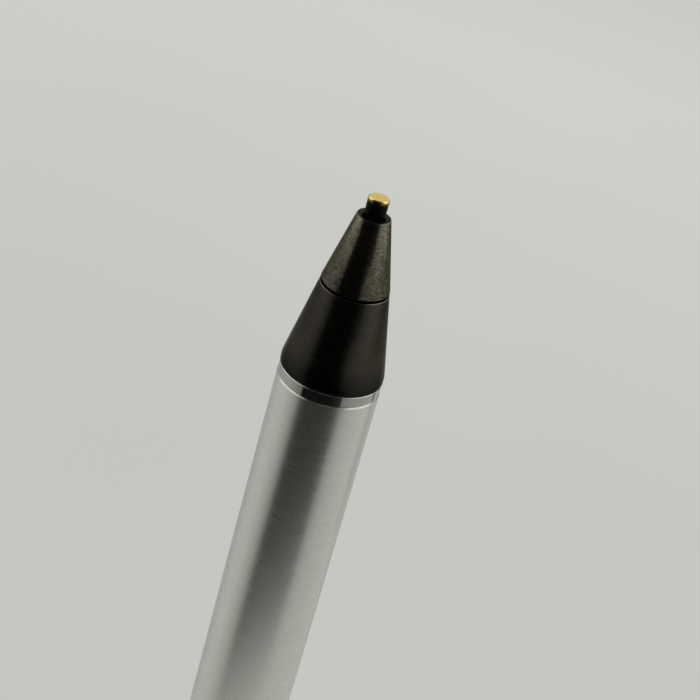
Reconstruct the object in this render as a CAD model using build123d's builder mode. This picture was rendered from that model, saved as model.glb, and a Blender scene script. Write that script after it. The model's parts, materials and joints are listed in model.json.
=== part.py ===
from build123d import *

import math
import os

# Active stylus pen: an aluminium barrel, a black nose in two pieces and a sprung, gold-tipped nib.
# The nose unscrews behind its trim ring and draws the chassis with the circuit board out of the barrel.
# The pen stands on its tail at z = 0, its axis is Z and the nib points up. Sizes are in millimetres.
# Threads are left open, as a plain gap between a root cylinder and a bore.

# Driving dimensions of the barrel and the cell that it is built around
CELL_DIAMETER = 8.3
CELL_LENGTH = 42.5
CELL_NUB_DIAMETER = 3.4
CELL_NUB_HEIGHT = 1.0
CELL_EDGE_BEVEL = 0.4
CELL_WASHER_THICKNESS = 0.3
CELL_CLEARANCE = 0.1
BARREL_WALL = 0.5
FRONT_BEVEL = 0.15
TAIL_BEVEL = 0.2
INSERT_CLEARANCE = 0.05

# Driving dimensions of the tail: plug, push button and switch
TAIL_RECESS = 0.2
PLUG_FLOOR = 1.4
PLUG_WALL = 0.7
BUTTON_RECESS = 0.1
BUTTON_LEDGE = 0.8
BUTTON_CLEARANCE = 0.08
BUTTON_FLANGE_THICKNESS = 0.6
BUTTON_EDGE_BEVEL = 0.25
BUTTON_TRAVEL = 0.7
BUTTON_SPRING_LENGTH = 3.0
BUTTON_SPRING_WIRE = 0.25
BUTTON_SPRING_TURNS = 2.5
PLUNGER_DIAMETER = 2.2
PLUNGER_ENGAGEMENT = 1.2
SWITCH_HEIGHT = 4.5
SWITCH_CLEARANCE = 0.1
TERMINAL_THICKNESS = 0.3
RETAINER_WALL = 0.9
RETAINER_HEIGHT = 1.0
RETAINER_SLOT_WIDTH = 0.8
RETAINER_SLOT_DEPTH = 0.4
CELL_SPRING_MARGIN = 0.2
CELL_SPRING_LENGTH = 4.9
CELL_SPRING_WIRE = 0.45
CELL_SPRING_TURNS = 3.0

# Driving dimensions of the chassis, the circuit board and what is soldered to it
CHASSIS_CLEARANCE = 0.25
CHASSIS_END_GAP = 0.3
BULKHEAD_THICKNESS = 2.0
TRAY_LENGTH = 51.5
TRAY_WINDOW_COUNT = 5
TRAY_WINDOW_WIDTH = 3.4
TRAY_WINDOW_FILL = 0.6
TRAY_FLOOR = 0.9
BOSS_DIAMETER = 4.6
CROSS_PIN_DIAMETER = 1.0
CROSS_PIN_OFFSET = 1.3
CROSS_PIN_CLEARANCE = 0.03
BOARD_THICKNESS = 0.8
BOARD_EDGE_GAP = 0.6
BOARD_END_GAP = 0.5
BOARD_CLEARANCE = 0.1
BOARD_CORNER_RADIUS = 0.6
TONGUE_WIDTH = 3.0
POST_DIAMETER = 0.8
POST_INSET = 2.0
POST_PROUD = 0.25
INDUCTOR_SIDE = 4.0
INDUCTOR_HEIGHT = 1.9
INDUCTOR_CORNER_RADIUS = 0.8
CHIP_SIDE = 4.0
CHIP_HEIGHT = 0.85
OSCILLATOR_LENGTH = 3.2
OSCILLATOR_WIDTH = 2.5
OSCILLATOR_HEIGHT = 0.8
CAPACITOR_LENGTH = 1.6
CAPACITOR_WIDTH = 0.8
CAPACITOR_ROWS = 4
RESISTOR_LENGTH = 1.0
RESISTOR_WIDTH = 0.5
RESISTOR_HEIGHT = 0.35
RESISTOR_ROWS = 5
CHIP_PART_GAP = 0.8
CONTACT_SHEET = 0.3
CELL_CONTACT_DIAMETER = 4.6
LEG_WIDTH = 1.4
LEG_LAP = 2.2
CLIP_MARGIN = 0.6
CLIP_HALF_ANGLE = 84.0
CLIP_CLEARANCE = 0.02

# Driving dimensions of the nose: trim ring, nose cone and tip sleeve
RING_LENGTH = 1.1
RING_STEP = 0.05
RING_BEVEL = 0.1
NOSE_GRIP = 8.0
NOSE_THREAD_LENGTH = 4.6
SEAL_SECTION = 0.7
SEAL_SIDES = 6
SEAL_CLEARANCE = 0.03
NOSE_LAND = 0.65
NOSE_LENGTH = 8.82
NOSE_BLEND_RADIUS = 2.5
NOSE_EDGE_BEVEL = 0.06
NECK_LENGTH = 2.2
NECK_WALL = 0.6
THREAD_DEPTH = 0.25
SLEEVE_LENGTH = 6.78
SLEEVE_BASE_WALL = 1.19
SLEEVE_TIP_WALL = 0.505
SLEEVE_RIM_WIDTH = 0.16
SLEEVE_RIM_BEVEL = 0.07
SLEEVE_DISH_DEPTH = 0.15
GROOVE_WIDTH = 0.12
GROOVE_DEPTH = 0.4

# Number of sides that stand for the round section of every spring's wire
WIRE_SIDES = 5

# Driving dimensions of the nib and its spring
NIB_DIAMETER = 1.9
NIB_REACH = 1.8
NIB_TRAVEL = 0.4
NIB_STOP_CLEARANCE = 0.1
NIB_CLEARANCE = 0.05
NIB_FLANGE_STEP = 0.45
NIB_FLANGE_THICKNESS = 0.6
NIB_FLANGE_CLEARANCE = 0.1
CONTACT_LIP = 0.03
CONTACT_THICKNESS = 0.42
CONTACT_BEVEL = 0.08
PIN_DIAMETER = 0.7
PIN_CLEARANCE = 0.02
PIN_OVERRUN = 0.4
STEM_TAIL_DIAMETER = 1.24
STEM_OVERRUN = 0.3
NIB_SPRING_LENGTH = 5.0
NIB_SPRING_WIRE = 0.22
NIB_SPRING_TURNS = 4.5
SPRING_CLEARANCE = 0.13
SEAT_THICKNESS = 0.3
SEAT_CLEARANCE = 0.05
GUIDE_LENGTH = 1.2

# Radii, from the cell and the nib outwards
cell_radius = CELL_DIAMETER / 2
bore_radius = cell_radius + CELL_CLEARANCE
barrel_radius = bore_radius + BARREL_WALL
insert_radius = bore_radius - INSERT_CLEARANCE
plug_bore_radius = insert_radius - PLUG_WALL
button_radius = plug_bore_radius - BUTTON_LEDGE
plunger_radius = PLUNGER_DIAMETER / 2
button_spring_radius = plunger_radius + SPRING_CLEARANCE + BUTTON_SPRING_WIRE / 2
retainer_radius = plug_bore_radius - INSERT_CLEARANCE
retainer_bore_radius = retainer_radius - RETAINER_WALL
terminal_radius = retainer_bore_radius - SWITCH_CLEARANCE
cell_spring_radius = terminal_radius - CELL_SPRING_MARGIN - CELL_SPRING_WIRE / 2
tray_radius = bore_radius - CHASSIS_CLEARANCE
boss_radius = BOSS_DIAMETER / 2
ring_radius = barrel_radius - RING_STEP
nose_thread_radius = insert_radius - THREAD_DEPTH
seal_radius = bore_radius - SEAL_CLEARANCE - SEAL_SECTION / 2
pin_radius = PIN_DIAMETER / 2
stem_tail_radius = STEM_TAIL_DIAMETER / 2
nib_radius = NIB_DIAMETER / 2
nib_flange_radius = nib_radius + NIB_FLANGE_STEP
contact_radius = nib_radius + CONTACT_LIP
sleeve_bore_radius = contact_radius + NIB_CLEARANCE
sleeve_tip_radius = sleeve_bore_radius + SLEEVE_TIP_WALL
nib_spring_radius = stem_tail_radius + SPRING_CLEARANCE + NIB_SPRING_WIRE / 2
spring_bore_radius = nib_spring_radius + NIB_SPRING_WIRE / 2 + SPRING_CLEARANCE
neck_radius = spring_bore_radius + NECK_WALL
sleeve_thread_radius = neck_radius + THREAD_DEPTH
nose_top_radius = sleeve_thread_radius + SLEEVE_BASE_WALL

# Heights along the axis, from the tail up
plug_bottom = TAIL_RECESS
plug_floor = plug_bottom + PLUG_FLOOR
button_face = plug_bottom + BUTTON_RECESS
button_flange_top = plug_floor + BUTTON_FLANGE_THICKNESS
switch_bottom = button_flange_top + BUTTON_SPRING_LENGTH
switch_top = switch_bottom + SWITCH_HEIGHT
terminal_top = switch_top + TERMINAL_THICKNESS
plug_top = switch_top + RETAINER_HEIGHT
cell_bottom = terminal_top + CELL_SPRING_LENGTH
cell_top = cell_bottom + CELL_LENGTH
cell_shoulder = cell_top - CELL_NUB_HEIGHT
chassis_bottom = cell_top + CONTACT_SHEET
tray_bottom = chassis_bottom + BULKHEAD_THICKNESS
tray_top = tray_bottom + TRAY_LENGTH
chassis_shoulder = tray_top + BULKHEAD_THICKNESS
nose_bottom = chassis_shoulder + CHASSIS_END_GAP
nose_thread_top = nose_bottom + NOSE_THREAD_LENGTH
barrel_front = nose_bottom + NOSE_GRIP
seal_height = (nose_thread_top + barrel_front) / 2
cross_pin_height = (nose_bottom + nose_thread_top) / 2
ring_top = barrel_front + RING_LENGTH
land_top = ring_top + NOSE_LAND
nose_top = ring_top + NOSE_LENGTH
neck_top = nose_top + NECK_LENGTH
nib_flange_bottom = neck_top + NIB_TRAVEL + NIB_STOP_CLEARANCE
nib_flange_top = nib_flange_bottom + NIB_FLANGE_THICKNESS
sleeve_tip = nose_top + SLEEVE_LENGTH
nib_face = sleeve_tip + NIB_REACH
contact_bottom = nib_face - CONTACT_THICKNESS
spring_seat_top = nib_flange_bottom - NIB_SPRING_LENGTH
spring_seat_bottom = spring_seat_top - SEAT_THICKNESS
guide_bottom = spring_seat_bottom - GUIDE_LENGTH
stem_end = guide_bottom - STEM_OVERRUN
pin_end = stem_end - PIN_OVERRUN
tip_contact_top = pin_end - NIB_TRAVEL - NIB_STOP_CLEARANCE
boss_top = tip_contact_top - CONTACT_SHEET

# Places on the circuit board, which lies on the flat of the tray with its parts facing +Y.
# The parts share the length between the two posts evenly.
board_bottom = tray_bottom + BOARD_END_GAP
board_top = tray_top - BOARD_END_GAP
board_half_width = math.sqrt(tray_radius**2 - BOARD_THICKNESS**2) - BOARD_EDGE_GAP
post_low = board_bottom + LEG_LAP + POST_INSET
post_high = board_top - POST_INSET
post_places = [(0, post_low), (0, post_high)]
capacitor_pitch = CAPACITOR_WIDTH + CHIP_PART_GAP
resistor_pitch = RESISTOR_WIDTH + CHIP_PART_GAP
capacitor_span = CAPACITOR_ROWS * capacitor_pitch - CHIP_PART_GAP
resistor_span = RESISTOR_ROWS * resistor_pitch - CHIP_PART_GAP
part_lengths = [INDUCTOR_SIDE, capacitor_span, CHIP_SIDE, resistor_span, OSCILLATOR_LENGTH]
part_gap = (post_high - post_low - sum(part_lengths)) / (len(part_lengths) + 1)
part_heights = []
part_end = post_low
for part_length in part_lengths:
    part_heights.append(part_end + part_gap + part_length / 2)
    part_end += part_gap + part_length
inductor_height, capacitor_height, chip_height, resistor_height, oscillator_height = part_heights
window_pitch = TRAY_LENGTH / TRAY_WINDOW_COUNT
clip_length = window_pitch * (1 - TRAY_WINDOW_FILL) - 2 * CLIP_MARGIN


def helix_point(radius, bottom, pitch, turn):
    angle = 2 * math.pi * turn
    return Vector(radius * math.cos(angle), radius * math.sin(angle), bottom + pitch * turn)


def helix_tangent(radius, pitch, turn):
    angle = 2 * math.pi * turn
    around = 2 * math.pi * radius
    return Vector(-around * math.sin(angle), around * math.cos(angle), pitch).normalized()


def half_turn_biarc(radius, bottom, pitch, turn):
    """Two arcs that share a tangent and carry a helix through half a turn."""
    start = helix_point(radius, bottom, pitch, turn)
    end = helix_point(radius, bottom, pitch, turn + 0.5)
    leaving = helix_tangent(radius, pitch, turn)
    arriving = helix_tangent(radius, pitch, turn + 0.5)
    chord = end - start
    square = 2 * (1 - leaving.dot(arriving))
    linear = 2 * chord.dot(leaving + arriving)
    reach = (math.sqrt(linear**2 + 4 * square * chord.dot(chord)) - linear) / (2 * square)
    first_corner = start + leaving * reach
    second_corner = end - arriving * reach
    joint = (first_corner + second_corner) * 0.5
    TangentArc(start, joint, tangent=leaving)
    TangentArc(joint, end, tangent=second_corner - first_corner)


def wind(radius, bottom, length, wire, turns):
    """The wire of a compression spring that stands on bottom, in whole half turns; prints its least gap."""
    half_turns = round(2 * turns)
    pitch = 2 * (length - wire) / half_turns
    first = bottom + wire / 2
    for half in range(half_turns):
        half_turn_biarc(radius, first, pitch, half / 2)
    samples = 24
    points = [helix_point(radius, first, pitch, i / samples / 2) for i in range(samples * half_turns + 1)]
    apart = [(a - b).length for i, a in enumerate(points) for b in points[i + samples:]]
    print(f"spring of {wire} mm wire: least gap between turns {min(apart) - wire:.2f} mm")


# Barrel: a drawn aluminium tube with a fine bevel at each end; the front one shows behind the trim ring
with BuildPart() as barrel:
    with BuildSketch():
        Circle(barrel_radius)
        Circle(bore_radius, mode=Mode.SUBTRACT)
    extrude(amount=barrel_front)
    outer_edges = barrel.edges().filter_by(GeomType.CIRCLE).group_by(SortBy.RADIUS)[-1].sort_by(Axis.Z)
    chamfer(outer_edges[0], length=TAIL_BEVEL)
    chamfer(outer_edges[-1], length=FRONT_BEVEL)
barrel.part.label = "barrel"

# Tail plug: a moulded cup, pressed into the barrel, that holds the button and the switch
with BuildPart() as tail_plug:
    with BuildSketch(Plane.XY.offset(plug_bottom)):
        Circle(insert_radius)
    extrude(amount=plug_top - plug_bottom)
    with BuildSketch(Plane.XY.offset(plug_floor)):
        Circle(plug_bore_radius)
    extrude(amount=plug_top - plug_floor, mode=Mode.SUBTRACT)
    with BuildSketch(Plane.XY.offset(plug_bottom)):
        Circle(button_radius + BUTTON_CLEARANCE)
    extrude(amount=PLUG_FLOOR, mode=Mode.SUBTRACT)
tail_plug.part.label = "tail_plug"

# Power button: a cap that stands just inside the tail, on a flange that keeps it in the plug
with BuildPart() as power_button:
    with BuildSketch(Plane.XY.offset(button_face)):
        Circle(button_radius)
    extrude(amount=plug_floor - button_face)
    face_edge = power_button.edges().filter_by(GeomType.CIRCLE).sort_by(Axis.Z)[0]
    chamfer(face_edge, length=BUTTON_EDGE_BEVEL)
    with BuildSketch(Plane.XY.offset(plug_floor)):
        Circle(plug_bore_radius - SWITCH_CLEARANCE)
    extrude(amount=BUTTON_FLANGE_THICKNESS)
power_button.part.label = "power_button"

# Switch plunger: the post between the button and the switch
with BuildPart() as switch_plunger:
    with BuildSketch(Plane.XY.offset(button_flange_top)):
        Circle(plunger_radius)
    extrude(amount=BUTTON_SPRING_LENGTH + PLUNGER_ENGAGEMENT)
switch_plunger.part.label = "switch_plunger"

# Button spring: returns the button
with BuildPart() as button_spring:
    with BuildLine() as button_coil:
        wind(
            button_spring_radius,
            button_flange_top,
            BUTTON_SPRING_LENGTH,
            BUTTON_SPRING_WIRE,
            BUTTON_SPRING_TURNS,
        )
    with BuildSketch(Plane(origin=button_coil.line @ 0, z_dir=button_coil.line % 0)):
        RegularPolygon(BUTTON_SPRING_WIRE / 2, WIRE_SIDES)
    sweep()
button_spring.part.label = "button_spring"

# Switch body: a bought-in latching switch, bored for its plunger
with BuildPart() as switch_body:
    with BuildSketch(Plane.XY.offset(switch_bottom)):
        Circle(plug_bore_radius - SWITCH_CLEARANCE)
    extrude(amount=SWITCH_HEIGHT)
    with BuildSketch(Plane.XY.offset(switch_bottom)):
        Circle(plunger_radius + BUTTON_CLEARANCE)
    extrude(amount=PLUNGER_ENGAGEMENT + BUTTON_TRAVEL + SWITCH_CLEARANCE, mode=Mode.SUBTRACT)
switch_body.part.label = "switch_body"

# Switch terminal: the plated disc that the cell spring stands on
with BuildPart() as switch_terminal:
    with BuildSketch(Plane.XY.offset(switch_top)):
        Circle(terminal_radius)
    extrude(amount=TERMINAL_THICKNESS)
switch_terminal.part.label = "switch_terminal"

# Switch retainer: a ring that holds the switch in the plug, with two slots for a spanner
with BuildPart() as switch_retainer:
    with BuildSketch(Plane.XY.offset(switch_top)):
        Circle(retainer_radius)
        Circle(retainer_bore_radius, mode=Mode.SUBTRACT)
    extrude(amount=RETAINER_HEIGHT)
    with BuildSketch(Plane.XY.offset(plug_top)):
        Rectangle(2 * plug_bore_radius, RETAINER_SLOT_WIDTH)
    extrude(amount=-RETAINER_SLOT_DEPTH, mode=Mode.SUBTRACT)
switch_retainer.part.label = "switch_retainer"

# Cell spring: the negative contact, which also pushes the cell forwards
with BuildPart() as cell_spring:
    with BuildLine() as cell_coil:
        wind(cell_spring_radius, terminal_top, CELL_SPRING_LENGTH, CELL_SPRING_WIRE, CELL_SPRING_TURNS)
    with BuildSketch(Plane(origin=cell_coil.line @ 0, z_dir=cell_coil.line % 0)):
        RegularPolygon(CELL_SPRING_WIRE / 2, WIRE_SIDES)
    sweep()
cell_spring.part.label = "cell_spring"

# Cell can: the steel case of the dry cell
with BuildPart() as cell_can:
    with BuildSketch(Plane.XY.offset(cell_bottom)):
        Circle(cell_radius)
    extrude(amount=cell_shoulder - cell_bottom)
    chamfer(cell_can.edges().filter_by(GeomType.CIRCLE), length=CELL_EDGE_BEVEL)
cell_can.part.label = "cell_can"

# Cell terminal: the positive nub
with BuildPart() as cell_terminal:
    with BuildSketch(Plane.XY.offset(cell_shoulder)):
        Circle(CELL_NUB_DIAMETER / 2)
    extrude(amount=CELL_NUB_HEIGHT)
cell_terminal.part.label = "cell_terminal"

# Cell washer: the insulating ring around the nub
with BuildPart() as cell_washer:
    with BuildSketch(Plane.XY.offset(cell_shoulder)):
        Circle(cell_radius - CELL_EDGE_BEVEL)
        Circle(CELL_NUB_DIAMETER / 2 + CELL_CLEARANCE, mode=Mode.SUBTRACT)
    extrude(amount=CELL_WASHER_THICKNESS)
cell_washer.part.label = "cell_washer"

# Chassis: one moulding with two round bulkheads, a half-round tray for the board and a slim front boss
with BuildPart() as chassis:
    with BuildSketch(Plane.XY.offset(chassis_bottom)):
        Circle(tray_radius)
    extrude(amount=chassis_shoulder - chassis_bottom)
    with BuildSketch(Plane.XY.offset(tray_bottom)):
        with Locations((0, tray_radius)):
            Rectangle(2 * tray_radius, 2 * tray_radius)
    extrude(amount=TRAY_LENGTH, mode=Mode.SUBTRACT)
    with BuildSketch(Plane.XY.offset(chassis_shoulder)):
        Circle(boss_radius)
    extrude(amount=boss_top - chassis_shoulder)
    # windows moulded into the back of the tray
    with BuildSketch(Plane.XZ.offset(TRAY_FLOOR)):
        with Locations((0, (tray_bottom + tray_top) / 2)):
            with GridLocations(TRAY_WINDOW_WIDTH, window_pitch, 1, TRAY_WINDOW_COUNT):
                Rectangle(TRAY_WINDOW_WIDTH, TRAY_WINDOW_FILL * window_pitch)
    extrude(amount=tray_radius, mode=Mode.SUBTRACT)
    # slots for the board's tongue and for the legs of the two contacts
    with BuildSketch(Plane.XY.offset(tray_top)):
        with Locations((0, BOARD_THICKNESS / 2)):
            Rectangle(TONGUE_WIDTH + 2 * BOARD_CLEARANCE, BOARD_THICKNESS + 2 * BOARD_CLEARANCE)
        with Locations((0, BOARD_THICKNESS + CONTACT_SHEET / 2)):
            Rectangle(LEG_WIDTH + 2 * BOARD_CLEARANCE, CONTACT_SHEET + 2 * BOARD_CLEARANCE)
    extrude(amount=boss_top - tray_top, mode=Mode.SUBTRACT)
    with BuildSketch(Plane.XY.offset(chassis_bottom)):
        with Locations((0, BOARD_THICKNESS + CONTACT_SHEET / 2)):
            Rectangle(LEG_WIDTH + 2 * BOARD_CLEARANCE, CONTACT_SHEET + 2 * BOARD_CLEARANCE)
    extrude(amount=BULKHEAD_THICKNESS, mode=Mode.SUBTRACT)
    # hole for the cross pin
    with BuildSketch(Plane.YZ):
        with Locations((-CROSS_PIN_OFFSET, cross_pin_height)):
            Circle(CROSS_PIN_DIAMETER / 2 + CROSS_PIN_CLEARANCE)
    extrude(amount=tray_radius, both=True, mode=Mode.SUBTRACT)
    # posts that locate the board
    with BuildSketch(Plane.XZ):
        with Locations(*post_places):
            Circle(POST_DIAMETER / 2)
    extrude(amount=-(BOARD_THICKNESS + POST_PROUD))
chassis.part.label = "chassis"

# Circuit board: a strip with rounded corners and a tongue that reaches up the front boss
with BuildPart() as circuit_board:
    with BuildSketch(Plane.XZ):
        with Locations((0, (board_bottom + board_top) / 2)):
            RectangleRounded(2 * board_half_width, board_top - board_bottom, BOARD_CORNER_RADIUS)
        with Locations((0, (board_bottom + boss_top) / 2)):
            Rectangle(TONGUE_WIDTH, boss_top - board_bottom)
        with Locations(*post_places):
            Circle(POST_DIAMETER / 2 + BOARD_CLEARANCE, mode=Mode.SUBTRACT)
    extrude(amount=-BOARD_THICKNESS)
circuit_board.part.label = "circuit_board"

# Parts on the board, each standing on its +Y face
board_face = Plane.XZ.offset(-BOARD_THICKNESS)

with BuildPart() as boost_inductor:
    with BuildSketch(board_face):
        with Locations((0, inductor_height)):
            RectangleRounded(INDUCTOR_SIDE, INDUCTOR_SIDE, INDUCTOR_CORNER_RADIUS)
    extrude(amount=-INDUCTOR_HEIGHT)
boost_inductor.part.label = "boost_inductor"

with BuildPart() as controller_chip:
    with BuildSketch(board_face):
        with Locations((0, chip_height)):
            Rectangle(CHIP_SIDE, CHIP_SIDE)
    extrude(amount=-CHIP_HEIGHT)
controller_chip.part.label = "controller_chip"

with BuildPart() as oscillator:
    with BuildSketch(board_face):
        with Locations((0, oscillator_height)):
            Rectangle(OSCILLATOR_WIDTH, OSCILLATOR_LENGTH)
    extrude(amount=-OSCILLATOR_HEIGHT)
oscillator.part.label = "oscillator"

with BuildPart() as board_capacitors:
    with BuildSketch(board_face):
        with Locations((0, capacitor_height)):
            with GridLocations(CAPACITOR_LENGTH + CHIP_PART_GAP, capacitor_pitch, 2, CAPACITOR_ROWS):
                Rectangle(CAPACITOR_LENGTH, CAPACITOR_WIDTH)
    extrude(amount=-CAPACITOR_WIDTH)
board_capacitors.part.label = "board_capacitors"

with BuildPart() as board_resistors:
    with BuildSketch(board_face):
        with Locations((0, resistor_height)):
            with GridLocations(RESISTOR_LENGTH + CHIP_PART_GAP, resistor_pitch, 2, RESISTOR_ROWS):
                Rectangle(RESISTOR_LENGTH, RESISTOR_WIDTH)
    extrude(amount=-RESISTOR_HEIGHT)
board_resistors.part.label = "board_resistors"

# Cell contact: a stamped disc on the rear bulkhead, with a leg soldered to the board
with BuildPart() as cell_contact:
    with BuildSketch(Plane.XY.offset(cell_top)):
        Circle(CELL_CONTACT_DIAMETER / 2)
    extrude(amount=CONTACT_SHEET)
    with BuildSketch(Plane.XY.offset(cell_top)):
        with Locations((0, BOARD_THICKNESS + CONTACT_SHEET / 2)):
            Rectangle(LEG_WIDTH, CONTACT_SHEET)
    extrude(amount=board_bottom + LEG_LAP - cell_top)
cell_contact.part.label = "cell_contact"

# Tip contact: a stamped disc on the front boss, with a leg soldered to the tongue
with BuildPart() as tip_contact:
    with BuildSketch(Plane.XY.offset(boss_top)):
        Circle(boss_radius - INSERT_CLEARANCE)
    extrude(amount=CONTACT_SHEET)
    with BuildSketch(Plane.XY.offset(boss_top)):
        with Locations((0, BOARD_THICKNESS + CONTACT_SHEET / 2)):
            Rectangle(LEG_WIDTH, CONTACT_SHEET)
    extrude(amount=-LEG_LAP)
tip_contact.part.label = "tip_contact"

# Ground clip: a springy band round the back of the tray, between two windows, that touches the barrel
with BuildPart() as ground_clip:
    clip_inside = tray_radius + CLIP_CLEARANCE
    clip_outside = bore_radius - INSERT_CLEARANCE
    with BuildSketch(Plane.XY.offset(tray_bottom + window_pitch - clip_length / 2)):
        with BuildLine():
            band_radius = (clip_inside + clip_outside) / 2
            CenterArc((0, 0), band_radius, -90 - CLIP_HALF_ANGLE, 2 * CLIP_HALF_ANGLE)
        trace(line_width=clip_outside - clip_inside)
    extrude(amount=clip_length)
ground_clip.part.label = "ground_clip"

# Trim ring: a polished ring clamped between the barrel and the nose cone
with BuildPart() as trim_ring:
    with BuildSketch(Plane.XY.offset(barrel_front)):
        Circle(ring_radius)
        Circle(bore_radius, mode=Mode.SUBTRACT)
    extrude(amount=RING_LENGTH)
    outer_edges = trim_ring.edges().filter_by(GeomType.CIRCLE).group_by(SortBy.RADIUS)[-1]
    chamfer(outer_edges, length=RING_BEVEL)
trim_ring.part.label = "trim_ring"

# Nose cone: a turned cone with a threaded grip in the barrel, a threaded neck for the sleeve
# and a guide for the nib
with BuildPart() as nose_cone:
    with BuildSketch(Plane.XZ) as nose_profile:
        with BuildLine():
            Polyline(
                (nose_thread_radius, nose_bottom),
                (nose_thread_radius, nose_thread_top),
                (insert_radius, nose_thread_top),
                (insert_radius, ring_top),
                (barrel_radius, ring_top),
                (barrel_radius, land_top),
                (nose_top_radius, nose_top),
                (neck_radius, nose_top),
                (neck_radius, neck_top),
                (spring_bore_radius, neck_top),
                (spring_bore_radius, spring_seat_bottom),
                (stem_tail_radius + NIB_CLEARANCE, spring_seat_bottom),
                (stem_tail_radius + NIB_CLEARANCE, guide_bottom),
                (boss_radius + INSERT_CLEARANCE, guide_bottom),
                (boss_radius + INSERT_CLEARANCE, nose_bottom),
                close=True,
            )
        make_face()
        shoulder = nose_profile.vertices().sort_by_distance((barrel_radius, land_top))[0]
        fillet(shoulder, radius=NOSE_BLEND_RADIUS)
        top_edge = nose_profile.vertices().sort_by_distance((nose_top_radius, nose_top))[0]
        chamfer(top_edge, length=NOSE_EDGE_BEVEL)
        # groove for the seal
        with Locations((insert_radius, seal_height)):
            Rectangle(2 * (insert_radius - seal_radius) + SEAL_SECTION, SEAL_SECTION, mode=Mode.SUBTRACT)
    revolve(axis=Axis.Z)
    # hole for the cross pin
    with BuildSketch(Plane.YZ):
        with Locations((-CROSS_PIN_OFFSET, cross_pin_height)):
            Circle(CROSS_PIN_DIAMETER / 2 + CROSS_PIN_CLEARANCE)
    extrude(amount=barrel_radius, both=True, mode=Mode.SUBTRACT)
nose_cone.part.label = "nose_cone"

# Nose seal: an O-ring in the groove, which keeps damp out of the barrel
with BuildPart() as nose_seal:
    with BuildSketch(Plane.XZ):
        with Locations((seal_radius, seal_height)):
            RegularPolygon(SEAL_SECTION / 2, SEAL_SIDES)
    revolve(axis=Axis.Z)
nose_seal.part.label = "nose_seal"

# Cross pin: a steel dowel that fixes the chassis in the nose cone, just short of the thread's root
with BuildPart() as cross_pin:
    cross_pin_reach = math.sqrt(nose_thread_radius**2 - (CROSS_PIN_OFFSET + CROSS_PIN_DIAMETER / 2) ** 2)
    with BuildSketch(Plane.YZ):
        with Locations((-CROSS_PIN_OFFSET, cross_pin_height)):
            Circle(CROSS_PIN_DIAMETER / 2)
    extrude(amount=cross_pin_reach, both=True)
cross_pin.part.label = "cross_pin"

# Spring seat: a brass washer at the foot of the nib spring
with BuildPart() as spring_seat:
    with BuildSketch(Plane.XY.offset(spring_seat_bottom)):
        Circle(spring_bore_radius - SEAT_CLEARANCE)
        Circle(stem_tail_radius + NIB_CLEARANCE, mode=Mode.SUBTRACT)
    extrude(amount=SEAT_THICKNESS)
spring_seat.part.label = "spring_seat"

# Tip sleeve: the front cone, which screws onto the neck, holds the nib by its flange and leaves a fine groove
with BuildPart() as tip_sleeve:
    with BuildSketch(Plane.XZ) as sleeve_profile:
        with BuildLine():
            Polyline(
                (sleeve_thread_radius, nose_top),
                (nose_top_radius - GROOVE_DEPTH, nose_top),
                (nose_top_radius - GROOVE_DEPTH, nose_top + GROOVE_WIDTH),
                (nose_top_radius, nose_top + GROOVE_WIDTH),
                (sleeve_tip_radius, sleeve_tip),
                (sleeve_tip_radius - SLEEVE_RIM_WIDTH, sleeve_tip),
                (sleeve_bore_radius, sleeve_tip - SLEEVE_DISH_DEPTH),
                (sleeve_bore_radius, nib_flange_top),
                (nib_flange_radius + NIB_FLANGE_CLEARANCE, nib_flange_top),
                (nib_flange_radius + NIB_FLANGE_CLEARANCE, neck_top),
                (sleeve_thread_radius, neck_top),
                close=True,
            )
        make_face()
        rim = sleeve_profile.vertices().sort_by_distance((sleeve_tip_radius, sleeve_tip))[0]
        chamfer(rim, length=SLEEVE_RIM_BEVEL)
    revolve(axis=Axis.Z)
tip_sleeve.part.label = "tip_sleeve"

# Nib contact: a gold-plated turned pin with a flat head, which touches the screen
with BuildPart() as nib_contact:
    with BuildSketch(Plane.XY.offset(contact_bottom)):
        Circle(contact_radius)
    extrude(amount=CONTACT_THICKNESS)
    chamfer(nib_contact.edges().filter_by(GeomType.CIRCLE).sort_by(Axis.Z)[-1], length=CONTACT_BEVEL)
    with BuildSketch(Plane.XY.offset(pin_end)):
        Circle(pin_radius)
    extrude(amount=contact_bottom - pin_end)
nib_contact.part.label = "nib_contact"

# Nib stem: the insulating body around the pin, with the flange that the spring lifts
with BuildPart() as nib_stem:
    with BuildSketch(Plane.XZ):
        with BuildLine():
            Polyline(
                (pin_radius + PIN_CLEARANCE, stem_end),
                (stem_tail_radius, stem_end),
                (stem_tail_radius, nib_flange_bottom),
                (nib_flange_radius, nib_flange_bottom),
                (nib_flange_radius, nib_flange_top),
                (nib_radius, nib_flange_top),
                (nib_radius, contact_bottom),
                (pin_radius + PIN_CLEARANCE, contact_bottom),
                close=True,
            )
        make_face()
    revolve(axis=Axis.Z)
nib_stem.part.label = "nib_stem"

# Nib spring: holds the nib forward against the sleeve
with BuildPart() as nib_spring:
    with BuildLine() as nib_coil:
        wind(nib_spring_radius, spring_seat_top, NIB_SPRING_LENGTH, NIB_SPRING_WIRE, NIB_SPRING_TURNS)
    with BuildSketch(Plane(origin=nib_coil.line @ 0, z_dir=nib_coil.line % 0)):
        RegularPolygon(NIB_SPRING_WIRE / 2, WIRE_SIDES)
    sweep()
nib_spring.part.label = "nib_spring"

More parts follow.
